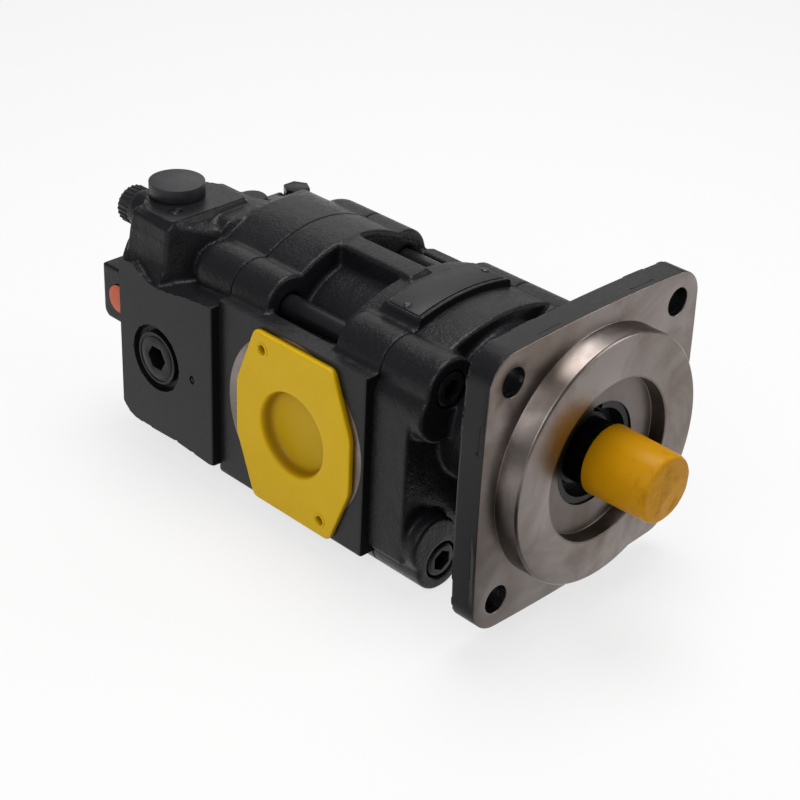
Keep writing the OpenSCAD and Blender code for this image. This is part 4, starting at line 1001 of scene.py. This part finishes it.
class PUMP_OT_studio(bpy.types.Operator):
    """Floor, lamps, world and camera"""

    bl_idname = "pump.studio"
    bl_label = "Studio"

    def execute(self, context):
        low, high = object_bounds()
        scene = context.scene
        floor_mesh = bpy.data.meshes.new("studio_floor")
        half = 3.0
        corners = [(x * half, y * half, low.z) for x, y in ((-1, -1), (1, -1), (1, 1), (-1, 1))]
        floor_mesh.from_pydata(corners, [], [(0, 1, 2, 3)])
        floor = linked("studio_floor", floor_mesh)
        material, shader, made = start_material("pale_floor")
        feed(shader, {"Base Color": rgba("#F2F2F2"), "Roughness": 0.7})
        tree = material.node_tree
        seen = {"seen": ("MAXIMUM", "Is Camera Ray", "Is Transmission Ray")}
        # Painted reflection: glossy rays see the floor as a glow that dims to a dark spot in front on the left, so
        # metal reflects dark there
        rows = {
            "to_dark_spot": ("distance", "place", (-0.2, -0.1, low.z)),
            "reflected_glow": ("range", "to_dark_spot", 0.1, 0.24, 0.02, 0.92),
            "strength": ("MAXIMUM", "seen", "reflected_glow"),
            "seen_share": ("MULTIPLY", "seen", 0.72),
            "share": ("MAXIMUM", "seen_share", "Is Glossy Ray"),
        }
        made |= dict(add(tree, "ShaderNodeLightPath").items())
        woven(tree, made, seen | rows)
        glow = add(tree, "ShaderNodeEmission", {"Strength": made["strength"]})[0]
        mixed = add(tree, "ShaderNodeMixShader", (made["share"], shader.outputs[0], glow))[0]
        output = next(n for n in tree.nodes if n.type == "OUTPUT_MATERIAL")
        feed(output, {"Surface": mixed})
        floor_mesh.materials.append(material)
        floor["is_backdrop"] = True

        scene.world = bpy.data.worlds.new("studio_world")
        scene.world.use_nodes = True
        tree = scene.world.node_tree
        tree.nodes.clear()
        made = dict(add(tree, "ShaderNodeLightPath").items())
        woven(tree, made, seen)
        soft, full = (add(tree, "ShaderNodeBackground", [(1, 1, 1, 1), strength])[0] for strength in (0.22, 1.0))
        mixed = add(tree, "ShaderNodeMixShader", (made["seen"], soft, full))[0]
        add(tree, "ShaderNodeOutputWorld", {"Surface": mixed})

        # Offset from the pump's middle, diameter, watts
        lamps = {
            "key_lamp": ((-1.0, -0.25, 0.9), 0.9, 6.0),
            "top_lamp": ((0.2, 0.1, 1.25), 0.8, 11.0),
            "back_lamp": ((0.95, 0.95, 0.8), 1.1, 2.5),
            "front_lamp": ((0.8, -1.0, 0.6), 0.7, 4.0),
        }
        for name, (offset, size, power) in lamps.items():
            data = bpy.data.lights.new(name, "AREA")
            data.shape = "DISK"
            data.size = size
            data.energy = power
            lamp = linked(name, data)
            lamp.location = (low + high) / 2 + Vector(offset)
            lamp.rotation_euler = (-Vector(offset)).to_track_quat("-Z", "Y").to_euler()

        # The camera as it was solved on the photograph: angles, then its place in its own axes
        azimuth, elevation, roll = -0.811687, 0.530816, 0.0471017
        shift = Vector((86.6045, -22.8553, -856.0759)) * MM
        focal_pixels, picture_pixels, sensor = 1855.447, 800, 36
        level = cos(elevation)
        back = Vector((sin(azimuth) * level, -cos(azimuth) * level, sin(elevation)))
        right = Vector((cos(azimuth), sin(azimuth), 0))
        up = back.cross(right)
        rolled = (right * cos(roll) + up * sin(roll), up * cos(roll) - right * sin(roll), back)
        axes = Matrix(rolled).transposed()
        data = bpy.data.cameras.new("camera")
        data.sensor_width = sensor
        data.lens = focal_pixels / picture_pixels * sensor
        data.clip_start = 0.01
        data.clip_end = 20
        camera = linked("camera", data)
        camera.matrix_world = Matrix.Translation(axes @ -shift) @ axes.to_4x4()
        scene.camera = camera
        scene.view_settings.view_transform = "Standard"
        return {"FINISHED"}


OPERATORS = (
    PUMP_OT_castings,
    PUMP_OT_suction_cover,
    PUMP_OT_push_pins,
    PUMP_OT_plate_rivets,
    PUMP_OT_ribbed_cap,
    PUMP_OT_shaft_sleeve,
    PUMP_OT_tie_bolts,
    PUMP_OT_small_parts,
    PUMP_OT_inner_pieces,
    PUMP_OT_studio,
)


class PUMP_PT_panel(bpy.types.Panel):
    """Lists the steps that build the pump"""

    bl_idname = "PUMP_PT_panel"
    bl_label = "Gear pump"
    bl_space_type = "VIEW_3D"
    bl_region_type = "UI"
    bl_category = "Pump"

    def draw(self, context):
        for group in (context.scene.pump_sizes, context.scene.pump_colours):
            for name in group.__annotations__:
                self.layout.prop(group, name)
        for operator in OPERATORS:
            self.layout.operator(operator.bl_idname)


CLASSES = (PumpSizes, PumpColours, *OPERATORS, PUMP_PT_panel)


def register():
    """Registers the classes and hangs the sizes and colours on the scene."""
    for item in CLASSES:
        bpy.utils.register_class(item)
    bpy.types.Scene.pump_sizes = bpy.props.PointerProperty(type=PumpSizes)
    bpy.types.Scene.pump_colours = bpy.props.PointerProperty(type=PumpColours)


def unregister():
    """Takes away what register() added."""
    del bpy.types.Scene.pump_colours
    del bpy.types.Scene.pump_sizes
    for item in reversed(CLASSES):
        bpy.utils.unregister_class(item)


def main():
    """Builds the pump, one operator after another."""
    register()
    for operator in OPERATORS:
        group, name = operator.bl_idname.split(".")
        getattr(getattr(bpy.ops, group), name)()


if __name__ == "__main__":
    main()
